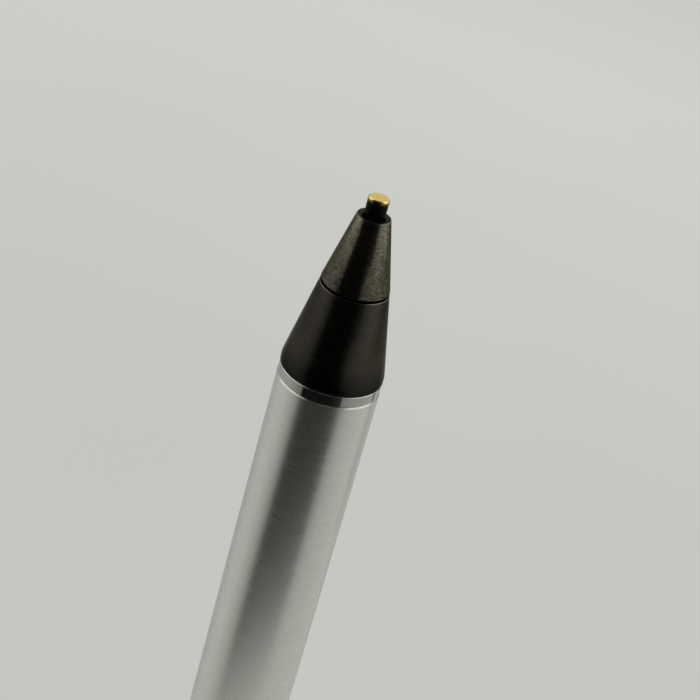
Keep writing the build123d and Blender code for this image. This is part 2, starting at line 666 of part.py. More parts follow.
pieces = [
    barrel,
    tail_plug,
    power_button,
    switch_plunger,
    button_spring,
    switch_body,
    switch_terminal,
    switch_retainer,
    cell_spring,
    cell_can,
    cell_terminal,
    cell_washer,
    chassis,
    circuit_board,
    boost_inductor,
    board_capacitors,
    controller_chip,
    board_resistors,
    oscillator,
    cell_contact,
    tip_contact,
    ground_clip,
    cross_pin,
    nose_seal,
    trim_ring,
    nose_cone,
    spring_seat,
    nib_spring,
    nib_stem,
    nib_contact,
    tip_sleeve,
]

os.makedirs("parts", exist_ok=True)
for piece in pieces:
    export_step(piece.part, f"parts/{piece.part.label}.step")
print(f"{len(pieces)} pieces, {nib_face:.2f} mm long, {2 * barrel_radius:.2f} mm across the barrel")
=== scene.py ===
import json
import math

import bmesh
import bpy
from mathutils import Matrix, Vector


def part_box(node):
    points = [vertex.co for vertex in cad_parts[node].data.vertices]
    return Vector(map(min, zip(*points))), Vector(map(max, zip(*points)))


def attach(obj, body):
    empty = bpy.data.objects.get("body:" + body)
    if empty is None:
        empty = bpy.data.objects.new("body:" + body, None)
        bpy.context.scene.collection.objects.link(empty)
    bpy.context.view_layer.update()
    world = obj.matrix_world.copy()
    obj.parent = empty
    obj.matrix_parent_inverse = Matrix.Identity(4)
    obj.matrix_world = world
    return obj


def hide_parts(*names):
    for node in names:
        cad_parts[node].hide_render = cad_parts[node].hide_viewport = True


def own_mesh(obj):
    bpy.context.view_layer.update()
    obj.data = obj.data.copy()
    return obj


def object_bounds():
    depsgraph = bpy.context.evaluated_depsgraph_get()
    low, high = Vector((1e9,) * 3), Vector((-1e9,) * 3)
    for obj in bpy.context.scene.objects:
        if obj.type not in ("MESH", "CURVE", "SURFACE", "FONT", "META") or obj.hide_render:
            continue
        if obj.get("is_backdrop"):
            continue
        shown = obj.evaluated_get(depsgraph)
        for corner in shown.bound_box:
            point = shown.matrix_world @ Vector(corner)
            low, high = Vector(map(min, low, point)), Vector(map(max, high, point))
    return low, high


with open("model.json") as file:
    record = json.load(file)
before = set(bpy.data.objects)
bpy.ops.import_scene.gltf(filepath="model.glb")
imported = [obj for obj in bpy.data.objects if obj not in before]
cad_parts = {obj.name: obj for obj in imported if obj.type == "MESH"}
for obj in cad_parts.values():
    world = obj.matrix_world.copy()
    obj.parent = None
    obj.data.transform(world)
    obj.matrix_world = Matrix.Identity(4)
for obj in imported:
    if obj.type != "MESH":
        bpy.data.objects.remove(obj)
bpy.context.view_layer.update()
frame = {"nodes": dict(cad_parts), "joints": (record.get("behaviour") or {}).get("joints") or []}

# Barrel
# A drawn aluminium tube, rubbed satin round its axis and anodised clear, with a turned bevel at each end.
# The nose screws into the front of its bore, and the tail plug is pressed into the back.
MM = 0.001
BARREL_WALL = 0.5 * MM
BARREL_SIDES = 224
TAIL_BEVEL = 0.2 * MM
FRONT_BEVEL = 0.12 * MM
BORE_THREAD_DEPTH = 0.14 * MM
NOSE_THREAD_PITCH = 0.5 * MM
NOSE_THREAD_LENGTH = 4.6 * MM
# A bevel is a face whose normal leans along the axis by a share between these two.
BEVEL_LEAN = (0.3, 0.95)
SHARP_ANGLE = math.radians(40)
# Points that are closer than this are one point.
SAME_PLACE = 0.00001 * MM
# Every thread has this many rows of points to a pitch, and a ridge with a flat crest and straight flanks.
THREAD_ROWS = 10
THREAD_CREST = 1.7
THREAD_FLANK = 4.2
# Every grain is a noise, and this part of the noise's range spans the two ends of a finish.
GRAIN_LOW = 0.36
GRAIN_HIGH = 0.64
GRAIN_DETAIL = 3.0
GRAIN_ROUGHNESS = 0.6


def linear(code):
    """An sRGB hex colour as the linear RGBA that shaders take."""
    shares = [int(code[at : at + 2], 16) / 255 for at in (1, 3, 5)]
    return [s / 12.92 if s <= 0.04045 else ((s + 0.055) / 1.055) ** 2.4 for s in shares] + [1.0]


def add_node(tree, kind, output, inputs=None, **settings):
    """Adds a shader node, sets its properties and its inputs, and returns one of its outputs.

    An input that is given the output of another node is linked to it.
    """
    node = tree.nodes.new("ShaderNode" + kind)
    for name, value in settings.items():
        setattr(node, name, value)
    for name, value in (inputs or {}).items():
        if isinstance(value, bpy.types.NodeSocket):
            tree.links.new(value, node.inputs[name])
        else:
            node.inputs[name].default_value = value
    return node.outputs[output]


def make_material(name, colours, roughness, grain, relief, fade=None, **sockets):
    """A finish whose grain varies its colour, its roughness and its height.

    colours and roughness are the two ends of the variation. grain is the size of the grain, or its sizes
    along X, Y and Z, and relief is its height, all in millimetres. fade paints shade: it is (axis, start,
    end, share), and the colour grows from that share to the whole between the two places. sockets are other
    values of the shader.
    """
    material = bpy.data.materials.new(name)
    material.use_nodes = True
    tree = material.node_tree
    shader = tree.nodes["Principled BSDF"]
    for socket, value in sockets.items():
        shader.inputs[socket.replace("_", " ")].default_value = value
    place = add_node(tree, "TexCoord", "Object")
    sizes = grain if isinstance(grain, tuple) else (grain,) * 3
    scale = [1 / (size * MM) for size in sizes]
    scaled = add_node(tree, "Mapping", "Vector", {"Vector": place, "Scale": scale})
    noise = add_node(
        tree,
        "TexNoise",
        "Fac",
        {"Vector": scaled, "Scale": 1.0, "Detail": GRAIN_DETAIL, "Roughness": GRAIN_ROUGHNESS},
    )
    spread = add_node(
        tree, "MapRange", "Result", {"Value": noise, "From Min": GRAIN_LOW, "From Max": GRAIN_HIGH}
    )
    colour = add_node(
        tree,
        "Mix",
        "Result",
        {"Factor": spread, "A": linear(colours[0]), "B": linear(colours[1])},
        data_type="RGBA",
    )
    # Painted shade: the colour is scaled down along one axis.
    if fade:
        axis, start, end, share = fade
        along = add_node(tree, "SeparateXYZ", axis, {"Vector": place})
        level = add_node(
            tree,
            "MapRange",
            "Result",
            {"Value": along, "From Min": start, "From Max": end, "To Min": share, "To Max": 1.0},
        )
        colour = add_node(tree, "VectorMath", "Vector", {"Vector": colour, "Scale": level}, operation="SCALE")
    gloss = add_node(
        tree, "MapRange", "Result", {"Value": spread, "To Min": roughness[0], "To Max": roughness[1]}
    )
    bump = add_node(tree, "Bump", "Normal", {"Height": noise, "Distance": relief * MM, "Strength": 1.0})
    for socket, source in (("Base Color", colour), ("Roughness", gloss), ("Normal", bump)):
        tree.links.new(source, shader.inputs[socket])
    return material


def make_metal(*finish, **settings):
    """A finish like those of make_material, but metallic."""
    return make_material(*finish, Metallic=1.0, **settings)


def rounded(outline, steps=6):
    """The outline of (radius, height) points, with an arc at each point that also carries a corner radius."""
    points = []
    for index, corner in enumerate(outline):
        here = Vector(corner[:2])
        if len(corner) == 2:
            points.append(here)
            continue
        before = (Vector(outline[index - 1][:2]) - here).normalized()
        after = (Vector(outline[(index + 1) % len(outline)][:2]) - here).normalized()
        half = before.angle(after) / 2
        centre = here + (before + after).normalized() * corner[2] / math.sin(half)
        start = here + before * corner[2] / math.tan(half) - centre
        end = here + after * corner[2] / math.tan(half) - centre
        for step in range(steps + 1):
            points.append(centre + start.slerp(end, step / steps).normalized() * corner[2])
    return points


def thread_rise(thread, run, height, turn):
    """How far a thread stands out at a height and a share of a turn, with a fade at both ends of its run."""
    pitch, depth = thread[1:]
    phase = (height / pitch - turn) % 1
    ridge = min(1, max(0, THREAD_CREST - abs(phase - 0.5) * THREAD_FLANK))
    fade = min(1, (height - run[0]) / pitch, (run[1] - height) / pitch)
    return depth * ridge * fade


def bridge(mesh_data, rings):
    """Joins each ring of points to the next with a band of faces."""
    for lower, upper in zip(rings, rings[1:]):
        for side in range(len(lower)):
            after = (side + 1) % len(lower)
            mesh_data.faces.new((lower[side], lower[after], upper[after], upper[side]))


def spin(name, outline, materials, bright=None, threads=(), sides=160):
    """Turns an outline about the pen's axis, as on a lathe.

    Faces whose normal leans along the axis by a share within bright take the second material.
    A thread is (root radius, pitch, depth): it is cut on every run of the outline at that radius.
    """
    points = rounded(outline)
    rows = []
    for (radius, height), (next_radius, next_height) in zip(points, points[1:] + points[:1]):
        rows.append((radius, height, None, None))
        for thread in threads:
            root, pitch = thread[:2]
            if max(abs(radius - root), abs(next_radius - root)) > SAME_PLACE:
                continue
            run = sorted((height, next_height))
            count = max(2, round((run[1] - run[0]) / pitch * THREAD_ROWS))
            for step in range(1, count):
                rows.append((root, height + (next_height - height) * step / count, thread, run))
    mesh_data = bmesh.new()
    rings = []
    for radius, height, thread, run in rows:
        ring = []
        for side in range(sides):
            reach = radius
            if thread:
                reach += thread_rise(thread, run, height, side / sides)
            angle = math.tau * side / sides
            ring.append(mesh_data.verts.new((reach * math.cos(angle), reach * math.sin(angle), height)))
        rings.append(ring)
    closed = points[0].x > 0 or points[-1].x > 0
    bridge(mesh_data, rings + rings[:1] if closed else rings)
    bmesh.ops.remove_doubles(mesh_data, verts=mesh_data.verts, dist=SAME_PLACE)
    return make_object(name, mesh_data, materials, bright)


def make_object(name, mesh_data, materials, bright=None):
    """A smooth-shaded object from mesh data, with sharp edges kept sharp and faces turned outwards."""
    bmesh.ops.recalc_face_normals(mesh_data, faces=mesh_data.faces)
    mesh = bpy.data.meshes.new(name)
    mesh_data.to_mesh(mesh)
    mesh_data.free()
    for material in materials:
        mesh.materials.append(material)
    for face in mesh.polygons:
        face.use_smooth = True
        if bright and bright[0] < abs(face.normal.z) < bright[1]:
            face.material_index = 1
    mesh.set_sharp_from_angle(angle=SHARP_ANGLE)
    piece = bpy.data.objects.new(name, mesh)
    bpy.context.scene.collection.objects.link(piece)
    return piece


def fit(piece, body, slot, *nodes):
    """Lets a piece ride on its body and stand for its CAD nodes, which it hides. slot is not used."""
    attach(piece, body)
    if nodes:
        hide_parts(*nodes)


# Satin aluminium: a metal with long rubbed streaks round the tube, which soften what it mirrors.
# The streaks are drawn about 0.1 mm wide, coarser than real ones, so that they show.
satin_aluminium = make_metal(
    "satin_anodised_aluminium",
    ("#d5d6d0", "#ddded8"),
    (0.27, 0.305),
    grain=(2.4, 2.4, 0.09),
    relief=0.0005,
    Specular_Tint=linear("#fafafa"),
)
# Cut aluminium: a fresh lathe cut under the clear oxide, greyer than bare metal, with a fine glint.
cut_aluminium = make_metal(
    "diamond_cut_aluminium", ("#b4b5ae", "#c4c5be"), (0.16, 0.24), grain=(1.0, 1.0, 0.05), relief=0.0002
)
barrel_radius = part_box("barrel")[1].x
barrel_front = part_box("barrel")[1].z
bore_radius = barrel_radius - BARREL_WALL
bore_thread_root = bore_radius + BORE_THREAD_DEPTH
thread_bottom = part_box("nose_cone")[0].z
thread_top = thread_bottom + NOSE_THREAD_LENGTH
barrel = spin(
    "barrel_tube",
    [
        (bore_radius, 0),
        (barrel_radius - TAIL_BEVEL, 0),
        (barrel_radius, TAIL_BEVEL),
        (barrel_radius, barrel_front - FRONT_BEVEL),
        (barrel_radius - FRONT_BEVEL, barrel_front),
        (bore_radius, barrel_front),
        (bore_radius, thread_top),
        (bore_thread_root, thread_top),
        (bore_thread_root, thread_bottom),
        (bore_radius, thread_bottom),
    ],
    [satin_aluminium, cut_aluminium],
    bright=BEVEL_LEAN,
    threads=[(bore_thread_root, NOSE_THREAD_PITCH, -BORE_THREAD_DEPTH)],
    sides=BARREL_SIDES,
)
fit(barrel, "barrel", "satin_aluminium", "barrel")

# Tail plug
# A cup moulded in black plastic and pressed into the back of the barrel.
# Its floor is the bezel round the button.
PLUG_FLOOR = 1.4 * MM
PLUG_WALL = 0.7 * MM
PLUG_EDGE = 0.15 * MM
BUTTON_HOLE_RADIUS = 2.78 * MM
# Moulded black plastic: a fine spark-eroded grain, drawn at 0.12 mm, that leaves a dull sheen.
black_moulding = make_material(
    "spark_grained_black_plastic", ("#141414", "#1b1b1b"), (0.48, 0.62), grain=0.12, relief=0.006
)
plug_low, plug_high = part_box("tail_plug")
tail_plug = spin(
    "tail_bezel",
    [
        (BUTTON_HOLE_RADIUS, plug_low.z, PLUG_EDGE),
        (plug_high.x, plug_low.z, PLUG_EDGE),
        (plug_high.x, plug_high.z, PLUG_EDGE),
        (plug_high.x - PLUG_WALL, plug_high.z, PLUG_EDGE),
        (plug_high.x - PLUG_WALL, plug_low.z + PLUG_FLOOR),
        (BUTTON_HOLE_RADIUS, plug_low.z + PLUG_FLOOR),
    ],
    [black_moulding],
)
fit(tail_plug, "barrel", "black_moulding", "tail_plug")

# Power button and its plunger
# A cap turned from aluminium, with a shallow dish for the finger, on a flange that the plug keeps in.
# The moulded plunger behind it works the switch.
BUTTON_RADIUS = 2.7 * MM
BUTTON_EDGE = 0.25 * MM
BUTTON_FLANGE = 0.6 * MM
RIM_WIDTH = 0.45 * MM
RIM_ROUND = 0.3 * MM
DISH_DEPTH = 0.12 * MM
DISH_TURN_RADIUS = 0.5 * BUTTON_RADIUS
DISH_TURN_DEPTH = 0.8 * DISH_DEPTH
DISH_ROUND = 3.0 * MM
FACING_PITCH = 0.14 * MM
FACING_RELIEF = 0.002 * MM
FACING_WANDER = 0.4
# At a scale of 1 the rings of the wave texture lie this far apart.
WAVE_PITCH = math.tau / 20
# Turned aluminium: a soft gleam, with rings from the facing cut.
# The rings are drawn 0.14 mm apart, coarser than real ones, so that they show.
turned_aluminium = make_metal(
    "faced_anodised_aluminium", ("#c2c3bd", "#cacbc5"), (0.22, 0.30), grain=0.5, relief=0.0004
)
facing_tree = turned_aluminium.node_tree
facing_place = add_node(facing_tree, "TexCoord", "Object")
facing_rings = add_node(
    facing_tree,
    "TexWave",
    "Fac",
    {"Vector": facing_place, "Scale": WAVE_PITCH / FACING_PITCH, "Distortion": FACING_WANDER},
    wave_type="RINGS",
    rings_direction="Z",
)
facing_bump = add_node(
    facing_tree, "Bump", "Normal", {"Height": facing_rings, "Distance": FACING_RELIEF, "Strength": 1.0}
)
facing_tree.links.new(facing_bump, facing_tree.nodes["Principled BSDF"].inputs["Normal"])


def place_material(node, material):
    """Gives a CAD node its finish."""
    frame["nodes"][node].material_slots[0].material = material


button_low, button_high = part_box("power_button")
power_button = spin(
    "tail_button",
    [
        (0, button_low.z + DISH_DEPTH),
        (DISH_TURN_RADIUS, button_low.z + DISH_TURN_DEPTH, DISH_ROUND),
        (BUTTON_RADIUS - RIM_WIDTH, button_low.z, RIM_ROUND),
        (BUTTON_RADIUS, button_low.z, BUTTON_EDGE),
        (BUTTON_RADIUS, button_high.z - BUTTON_FLANGE),
        (button_high.x, button_high.z - BUTTON_FLANGE),
        (button_high.x, button_high.z),
        (0, button_high.z),
    ],
    [turned_aluminium],
)
fit(power_button, "power_button", "button_aluminium", "power_button")
place_material("switch_plunger", black_moulding)

# Springs of the tail
# Two coils of bright drawn steel wire with closed ends.
# One returns the button from inside the plug, and one feeds the cell and pushes it forward.
BUTTON_WIRE = 0.25 * MM
BUTTON_TURNS = 4.5
CELL_WIRE = 0.45 * MM
CELL_TURNS = 5
CLOSED_TURNS = 1.0
CLOSED_PITCH = 0.9
WIRE_STEPS = 36
WIRE_SIDES = 12
# Drawn spring wire: long die lines along the wire are too fine to see, so a faint mottle stands for them.
spring_wire = make_metal(
    "drawn_spring_steel", ("#a9a8a4", "#c4c3be"), (0.20, 0.34), grain=(0.3, 0.3, 0.08), relief=0.0008
)


def add_bar(mesh_data, rings):
    """Adds a solid bar through rings of points, with a flat face on both ends."""
    bridge(mesh_data, rings)
    mesh_data.faces.new(rings[0])
    mesh_data.faces.new(rings[-1])


def wind(name, node, wire, turns):
    """A steel spring wound in the space of its CAD node.

    The turns that are closed at each end rise by CLOSED_PITCH wires each, and the rest share what is left.
    """
    low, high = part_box(node)
    radius = (high.x - low.x - wire) / 2
    open_turns = turns - 2 * CLOSED_TURNS
    open_rise = (high.z - low.z - wire) - 2 * CLOSED_TURNS * wire * CLOSED_PITCH
    path = []
    for step in range(round(turns * WIRE_STEPS) + 1):
        turn = step / WIRE_STEPS
        opened = min(max(turn - CLOSED_TURNS, 0), open_turns)
        closed = min(turn, CLOSED_TURNS) + max(turn - CLOSED_TURNS - open_turns, 0)
        height = low.z + wire / 2 + open_rise * opened / open_turns + closed * wire * CLOSED_PITCH
        angle = math.tau * turn
        path.append(Vector((radius * math.cos(angle), radius * math.sin(angle), height)))
    mesh_data = bmesh.new()
    rings = []
    for step, point in enumerate(path):
        along = (path[min(step + 1, len(path) - 1)] - path[max(step - 1, 0)]).normalized()
        outward = Vector((point.x, point.y, 0)).normalized()
        upward = along.cross(outward).normalized()
        ring = []
        for side in range(WIRE_SIDES):
            angle = math.tau * side / WIRE_SIDES
            offset = outward * math.cos(angle) + upward * math.sin(angle)
            ring.append(mesh_data.verts.new(point + offset * wire / 2))
        rings.append(ring)
    add_bar(mesh_data, rings)
    return make_object(name, mesh_data, [spring_wire])


def travel(joint):
    """How far a joint slides from rest."""
    return next(row for row in frame["joints"] if row["name"] == joint)["range_m"][1]


def press(spring):
    """Gives a spring its own copy of its mesh."""
    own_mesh(spring)


button_spring = wind("button_return_spring", "button_spring", BUTTON_WIRE, BUTTON_TURNS)
fit(button_spring, "barrel", "spring_wire", "button_spring")
press(button_spring)
fit(wind("cell_contact_spring", "cell_spring", CELL_WIRE, CELL_TURNS), "barrel", "spring_wire", "cell_spring")

# Switch
# A bought-in latching switch in a glossy moulded housing.
# It has a plated terminal towards the cell, and a plated ring nut holds it in the plug.
# Glossy moulding: polished tool marks show as a slight orange peel.
switch_housing = make_material(
    "gloss_moulded_switch_housing", ("#17181a", "#1f2022"), (0.22, 0.32), grain=0.5, relief=0.004
)
# Plated copper alloy: stamped sheet with a thin gold flash, a little cloudy.
plated_contact = make_metal(
    "flash_plated_copper_alloy", ("#c9a65c", "#dcbf7c"), (0.24, 0.36), grain=0.25, relief=0.001
)
place_material("switch_body", switch_housing)
for plated in ("switch_terminal", "switch_retainer"):
    place_material(plated, plated_contact)

# Dry cell
# A slim steel-cased cell in a plain shrunk sleeve, with a nickel-plated nub in a paper washer.
# It lies loose in the barrel, between its spring and the contact on the chassis.
# Shrunk sleeve: thin film drawn tight over steel, slightly wavy, with a soft gloss.
cell_sleeve = make_material(
    "shrink_sleeved_cell_case", ("#565c66", "#626872"), (0.26, 0.36), grain=(2.5, 2.5, 6.0), relief=0.01
)
# Nickel plate: a warm grey bright metal over pressed steel.
nickel_plate = make_metal(
    "nickel_plated_steel", ("#bfbbb2", "#cfccc4"), (0.18, 0.28), grain=0.4, relief=0.001
)
# Pressed paper: matt, fibrous and off-white.
pressed_paper = make_material(
    "pressed_insulating_paper", ("#d3cdbb", "#e2dccb"), (0.80, 0.92), grain=(0.5, 0.15, 0.15), relief=0.01
)
place_material("cell_can", cell_sleeve)
place_material("cell_terminal", nickel_plate)
place_material("cell_washer", pressed_paper)

# Chassis
# One pale glass-filled nylon moulding: two bulkheads, an open tray with windows, a front boss and two posts.
# The posts are staked flat over the board by heat.
BULKHEAD = 2.0 * MM
TRAY_LENGTH = 51.5 * MM
BOARD_END_GAP = 0.5 * MM
POST_INSET_LOW = 4.2 * MM
POST_INSET_HIGH = 2.0 * MM
STAKE_RADIUS = 0.62 * MM
STAKE_HEIGHT = 0.32 * MM
STAKE_EDGE = 0.2 * MM
SMALL_ROUND_SIDES = 32
# Glass-filled nylon: warm white, matt, with a faint swirl of fibres at the surface.
filled_nylon = make_material(
    "glass_filled_nylon", ("#d0cec7", "#d6d4ce"), (0.48, 0.58), grain=(0.25, 0.25, 0.5), relief=0.002
)
place_material("chassis", filled_nylon)
board_low, board_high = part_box("circuit_board")
board_face = board_high.y
board_bottom = board_low.z
board_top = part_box("chassis")[0].z + BULKHEAD + TRAY_LENGTH - BOARD_END_GAP
# A piece that is turned about Z stands on the board's face after this turn.
STAND = Matrix.Rotation(math.radians(-90), 4, "X")


def onto_face(piece, across, face, height):
    """Stands a turned piece on a face of the board or of a part, at that place."""
    piece.data.transform(Matrix.Translation((across, face, height)) @ STAND)


for number, height in enumerate((board_bottom + POST_INSET_LOW, board_top - POST_INSET_HIGH)):
    stake = spin(
        f"staked_post_{number + 1}",
        [(0, 0), (STAKE_RADIUS, 0), (STAKE_RADIUS, STAKE_HEIGHT, STAKE_EDGE), (0, STAKE_HEIGHT)],
        [filled_nylon],
        sides=SMALL_ROUND_SIDES,
    )
    onto_face(stake, 0, board_face, height)
    fit(stake, "front_module", "chassis_moulding")

# Circuit board
# A strip of glass-epoxy laminate under green solder mask, held by the staked posts.
# Copper tracks show through the mask, white corners are printed on it, and gold-flashed vias are left bare.
TRACK_RAISE = 0.02 * MM
MITRE_LIMIT = 0.5
BUS_INSET = 0.38 * MM
BUS_WIDTH = 0.34 * MM
BUS_END_GAP = 1.2 * MM
LINE_WIDTH = 0.16 * MM
LINE_PITCH = 0.5 * MM
LINES_A_SIDE = 3
LINE_JOG = 0.35 * MM
LINE_RUN = 1.0 * MM
FEED_ACROSS = 0.55 * MM
FEED_RUN = 1.1 * MM
TONGUE_RUN = 1.0 * MM
CHIP_LAP = 0.1 * MM
PART_LAP = 0.2 * MM
CAPACITOR_ROWS = 4
CAPACITOR_WIDTH = 0.8 * MM
CAPACITOR_STUB = 1.7 * MM
CAPACITOR_STUB_WIDTH = 1.6 * LINE_WIDTH
RESISTOR_ROWS = 5
RESISTOR_WIDTH = 0.5 * MM
RESISTOR_STUB = 1.2 * MM
COIL_STUB = 1.8 * MM
COIL_STUB_WIDTH = 3 * LINE_WIDTH
INK_WIDTH = 0.13 * MM
INK_GAP = 0.35 * MM
INK_LEG = 0.6 * MM
VIA_RADIUS = 0.2 * MM
VIA_TOP_RADIUS = 0.8 * VIA_RADIUS
VIA_HEIGHT = 2 * TRACK_RAISE
VIA_LIFT = 1.5 * TRACK_RAISE
VIA_SIDES = 16
VIA_PITCH = 4.1 * MM
VIA_START = 2.4 * MM
VIA_ENDS = 4.0 * MM
SAWN_LEAN = 0.4
MASKED_LEAN = 0.6
# Solder mask: a glossy green lacquer with the weave of the glass cloth just showing.
solder_mask = make_material(
    "green_solder_mask_on_laminate", ("#0f3d28", "#134a31"), (0.22, 0.34), grain=0.35, relief=0.003
)
# Masked copper: the same lacquer over a track, so lighter and warmer.
masked_copper = make_material(
    "green_solder_mask_on_copper", ("#2c6b3f", "#357a49"), (0.20, 0.30), grain=0.35, relief=0.002
)
# Marking ink: white screen print, matt.
marking_ink = make_material(
    "screen_printed_marking_ink", ("#c4c6c0", "#d2d4ce"), (0.60, 0.75), grain=0.15, relief=0.002
)
# The board's sawn edges show the bare laminate, pale and yellowish.
mask_tree = solder_mask.node_tree
mask_colour = mask_tree.nodes["Principled BSDF"].inputs["Base Color"]
outward = add_node(mask_tree, "NewGeometry", "Normal")
facing = add_node(mask_tree, "SeparateXYZ", "Y", {"Vector": outward})
lean = add_node(mask_tree, "Math", "Value", {0: facing}, operation="ABSOLUTE")
masked = add_node(
    mask_tree, "MapRange", "Result", {"Value": lean, "From Min": SAWN_LEAN, "From Max": MASKED_LEAN}
)
edge_or_mask = add_node(
    mask_tree,
    "Mix",
    "Result",
    {"Factor": masked, "A": linear("#8f8a55"), "B": mask_colour.links[0].from_socket},
    data_type="RGBA",
)
mask_tree.links.new(edge_or_mask, mask_colour)
place_material("circuit_board", solder_mask)
capacitors_low, capacitors_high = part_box("board_capacitors")
resistors_low, resistors_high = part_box("board_resistors")
chip_low, chip_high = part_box("controller_chip")
coil_low, coil_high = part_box("boost_inductor")
can_low, can_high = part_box("oscillator")


def row_heights(low, high, width, count):
    """The heights of the rows of parts that fill a node's box from end to end."""
    pitch = (high.z - low.z - width) / (count - 1)
    return [low.z + width / 2 + row * pitch for row in range(count)]


def add_track(mesh_data, route, width):
    """Adds a flat track along (across, height) points on the board's face, mitred at its bends."""
    points = [Vector(point) for point in dict.fromkeys(route)]
    rings = []
    for index, point in enumerate(points):
        into = (point - points[index - 1]).normalized() if index else None
        out = (points[index + 1] - point).normalized() if index + 1 < len(points) else None
        along = ((into or out) + (out or into)).normalized()
        stretch = 1 / max(MITRE_LIMIT, along.dot(out or into))
        side = Vector((-along.y, along.x)) * width / 2 * stretch
        left, right = point + side, point - side
        low, high = board_face - TRACK_RAISE, board_face + TRACK_RAISE
        corners = ((left, low), (right, low), (right, high), (left, high))
        rings.append([mesh_data.verts.new((place.x, level, place.y)) for place, level in corners])
    add_bar(mesh_data, rings)


def jogged(across, jog, start, bend, end):
    """A route from start to end that moves across by jog, at 45 degrees, from the height of its bend."""
    past_bend = bend + math.copysign(jog, end - start)
    return [(across, start), (across, bend), (across + jog, past_bend), (across + jog, end)]


capacitor_heights = row_heights(capacitors_low, capacitors_high, CAPACITOR_WIDTH, CAPACITOR_ROWS)
resistor_heights = row_heights(resistors_low, resistors_high, RESISTOR_WIDTH, RESISTOR_ROWS)
coil_middle = (coil_low.z + coil_high.z) / 2
bus = board_high.x - BUS_INSET
stub_end = bus - BUS_WIDTH / 2
stubs = [(CAPACITOR_STUB, height, CAPACITOR_STUB_WIDTH) for height in capacitor_heights]
stubs += [(RESISTOR_STUB, height, LINE_WIDTH) for height in resistor_heights]
stubs.append((COIL_STUB, coil_middle, COIL_STUB_WIDTH))
tracks = bmesh.new()
for hand in (-1, 1):
    bus_ends = [(hand * bus, board_bottom + BUS_END_GAP), (hand * bus, board_top - BUS_END_GAP)]
    add_track(tracks, bus_ends, BUS_WIDTH)
    for start, height, width in stubs:
        add_track(tracks, [(hand * start, height), (hand * stub_end, height)], width)
    routes = []
    for line in range(LINES_A_SIDE):
        across = hand * (line + 0.5) * LINE_PITCH
        jog = hand * line * LINE_JOG
        to_resistors = (chip_high.z - CHIP_LAP, chip_high.z + LINE_RUN, resistors_low.z + PART_LAP)
        to_capacitors = (chip_low.z + CHIP_LAP, chip_low.z - LINE_RUN, capacitors_high.z - PART_LAP)
        routes.append(jogged(across, jog, *to_resistors))
        routes.append(jogged(across, jog, *to_capacitors))
    to_can = (resistors_high.z - PART_LAP, resistors_high.z + FEED_RUN, can_low.z + PART_LAP)
    routes.append(jogged(hand * FEED_ACROSS, hand * LINE_JOG, *to_can))
    feed = hand * (FEED_ACROSS + LINE_JOG)
    routes.append([(feed, can_high.z - PART_LAP), (feed, board_top + TONGUE_RUN)])
    for route in routes:
        add_track(tracks, route, LINE_WIDTH)
fit(make_object("board_tracks", tracks, [masked_copper]), "front_module", "board_laminate")

prints = bmesh.new()
for low, high in ((chip_low, chip_high), (coil_low, coil_high), (can_low, can_high)):
    for hand in (-1, 1):
        for end in (-1, 1):
            across = hand * (high.x + INK_GAP)
            height = (low.z + high.z) / 2 + end * ((high.z - low.z) / 2 + INK_GAP)
            corner = [(across - hand * INK_LEG, height), (across, height), (across, height - end * INK_LEG)]
            add_track(prints, corner, INK_WIDTH)
fit(make_object("board_prints", prints, [marking_ink]), "front_module", "board_laminate")

vias = bmesh.new()
via_count = int((board_top - board_bottom - VIA_ENDS) / VIA_PITCH) + 1
for hand in (-1, 1):
    for number in range(via_count):
        made = bmesh.ops.create_cone(
            vias,
            cap_ends=True,
            segments=VIA_SIDES,
            radius1=VIA_RADIUS,
            radius2=VIA_TOP_RADIUS,
            depth=VIA_HEIGHT,
        )["verts"]
        height = board_bottom + VIA_START + number * VIA_PITCH
        place = Matrix.Translation((hand * bus, board_face + VIA_LIFT, height))
        bmesh.ops.transform(vias, matrix=place @ STAND, verts=made)
fit(make_object("board_vias", vias, [plated_contact]), "front_module", "plated_contact")

# Parts on the board
# A shielded inductor, eight ceramic capacitors, ten resistors, a leadless controller and a canned oscillator.
# Each is soldered on by its tinned ends or pads. The leg of the cell's contact is soldered on too.
CAPACITOR_LENGTH = 1.6 * MM
CAPACITOR_HEIGHT = 0.8 * MM
CAPACITOR_COLUMN = 1.2 * MM
RESISTOR_LENGTH = 1.0 * MM
RESISTOR_HEIGHT = 0.35 * MM
RESISTOR_COLUMN = 0.9 * MM
END_SHARE = 0.225
END_PROUD = 0.015 * MM
END_BEVEL = 0.04 * MM
FILLET_REACH = 0.3 * MM
FILLET_RISE = 0.6
COIL_END_WIDTH = 1.8 * MM
COIL_END_HEIGHT = 0.5 * MM
COIL_END_LAP = 0.5 * MM
COIL_END_PROUD = 0.03 * MM
COIL_END_BEVEL = 0.05 * MM
CHIP_PADS = 6
PAD_WIDTH = 0.24 * MM
PAD_REACH = 0.22 * MM
PAD_HEIGHT = 0.12 * MM
PAD_BEVEL = 0.03 * MM
PIN_MARK_RADIUS = 0.2 * MM
PIN_MARK_HEIGHT = 0.006 * MM
PIN_MARK_INSET = 0.5 * MM
CAN_BASE_SHARE = 0.35
CAN_BASE_BEVEL = 0.06 * MM
CAN_INSET = 0.14 * MM
CAN_BEVEL = 0.16 * MM
LEG_WIDTH = 1.4 * MM
LEG_LAP = 2.2 * MM
LEG_SOLDER_SIDE = 0.22 * MM
LEG_SOLDER_BACK = 1.1 * MM
LEG_SOLDER_FRONT = 0.28 * MM
LEG_SOLDER_HEIGHT = 0.16 * MM
LEG_SOLDER_BEVEL = 0.07 * MM
# Reflowed solder: a bright, slightly frosted tin alloy.
solder = make_metal("reflowed_tin_solder", ("#b6b7b8", "#c9cacb"), (0.22, 0.38), grain=0.2, relief=0.002)
# Pressed ferrite: dark grey, finely granular and matt.
ferrite = make_material("pressed_ferrite", ("#2a2a2b", "#39393a"), (0.55, 0.75), grain=0.1, relief=0.006)
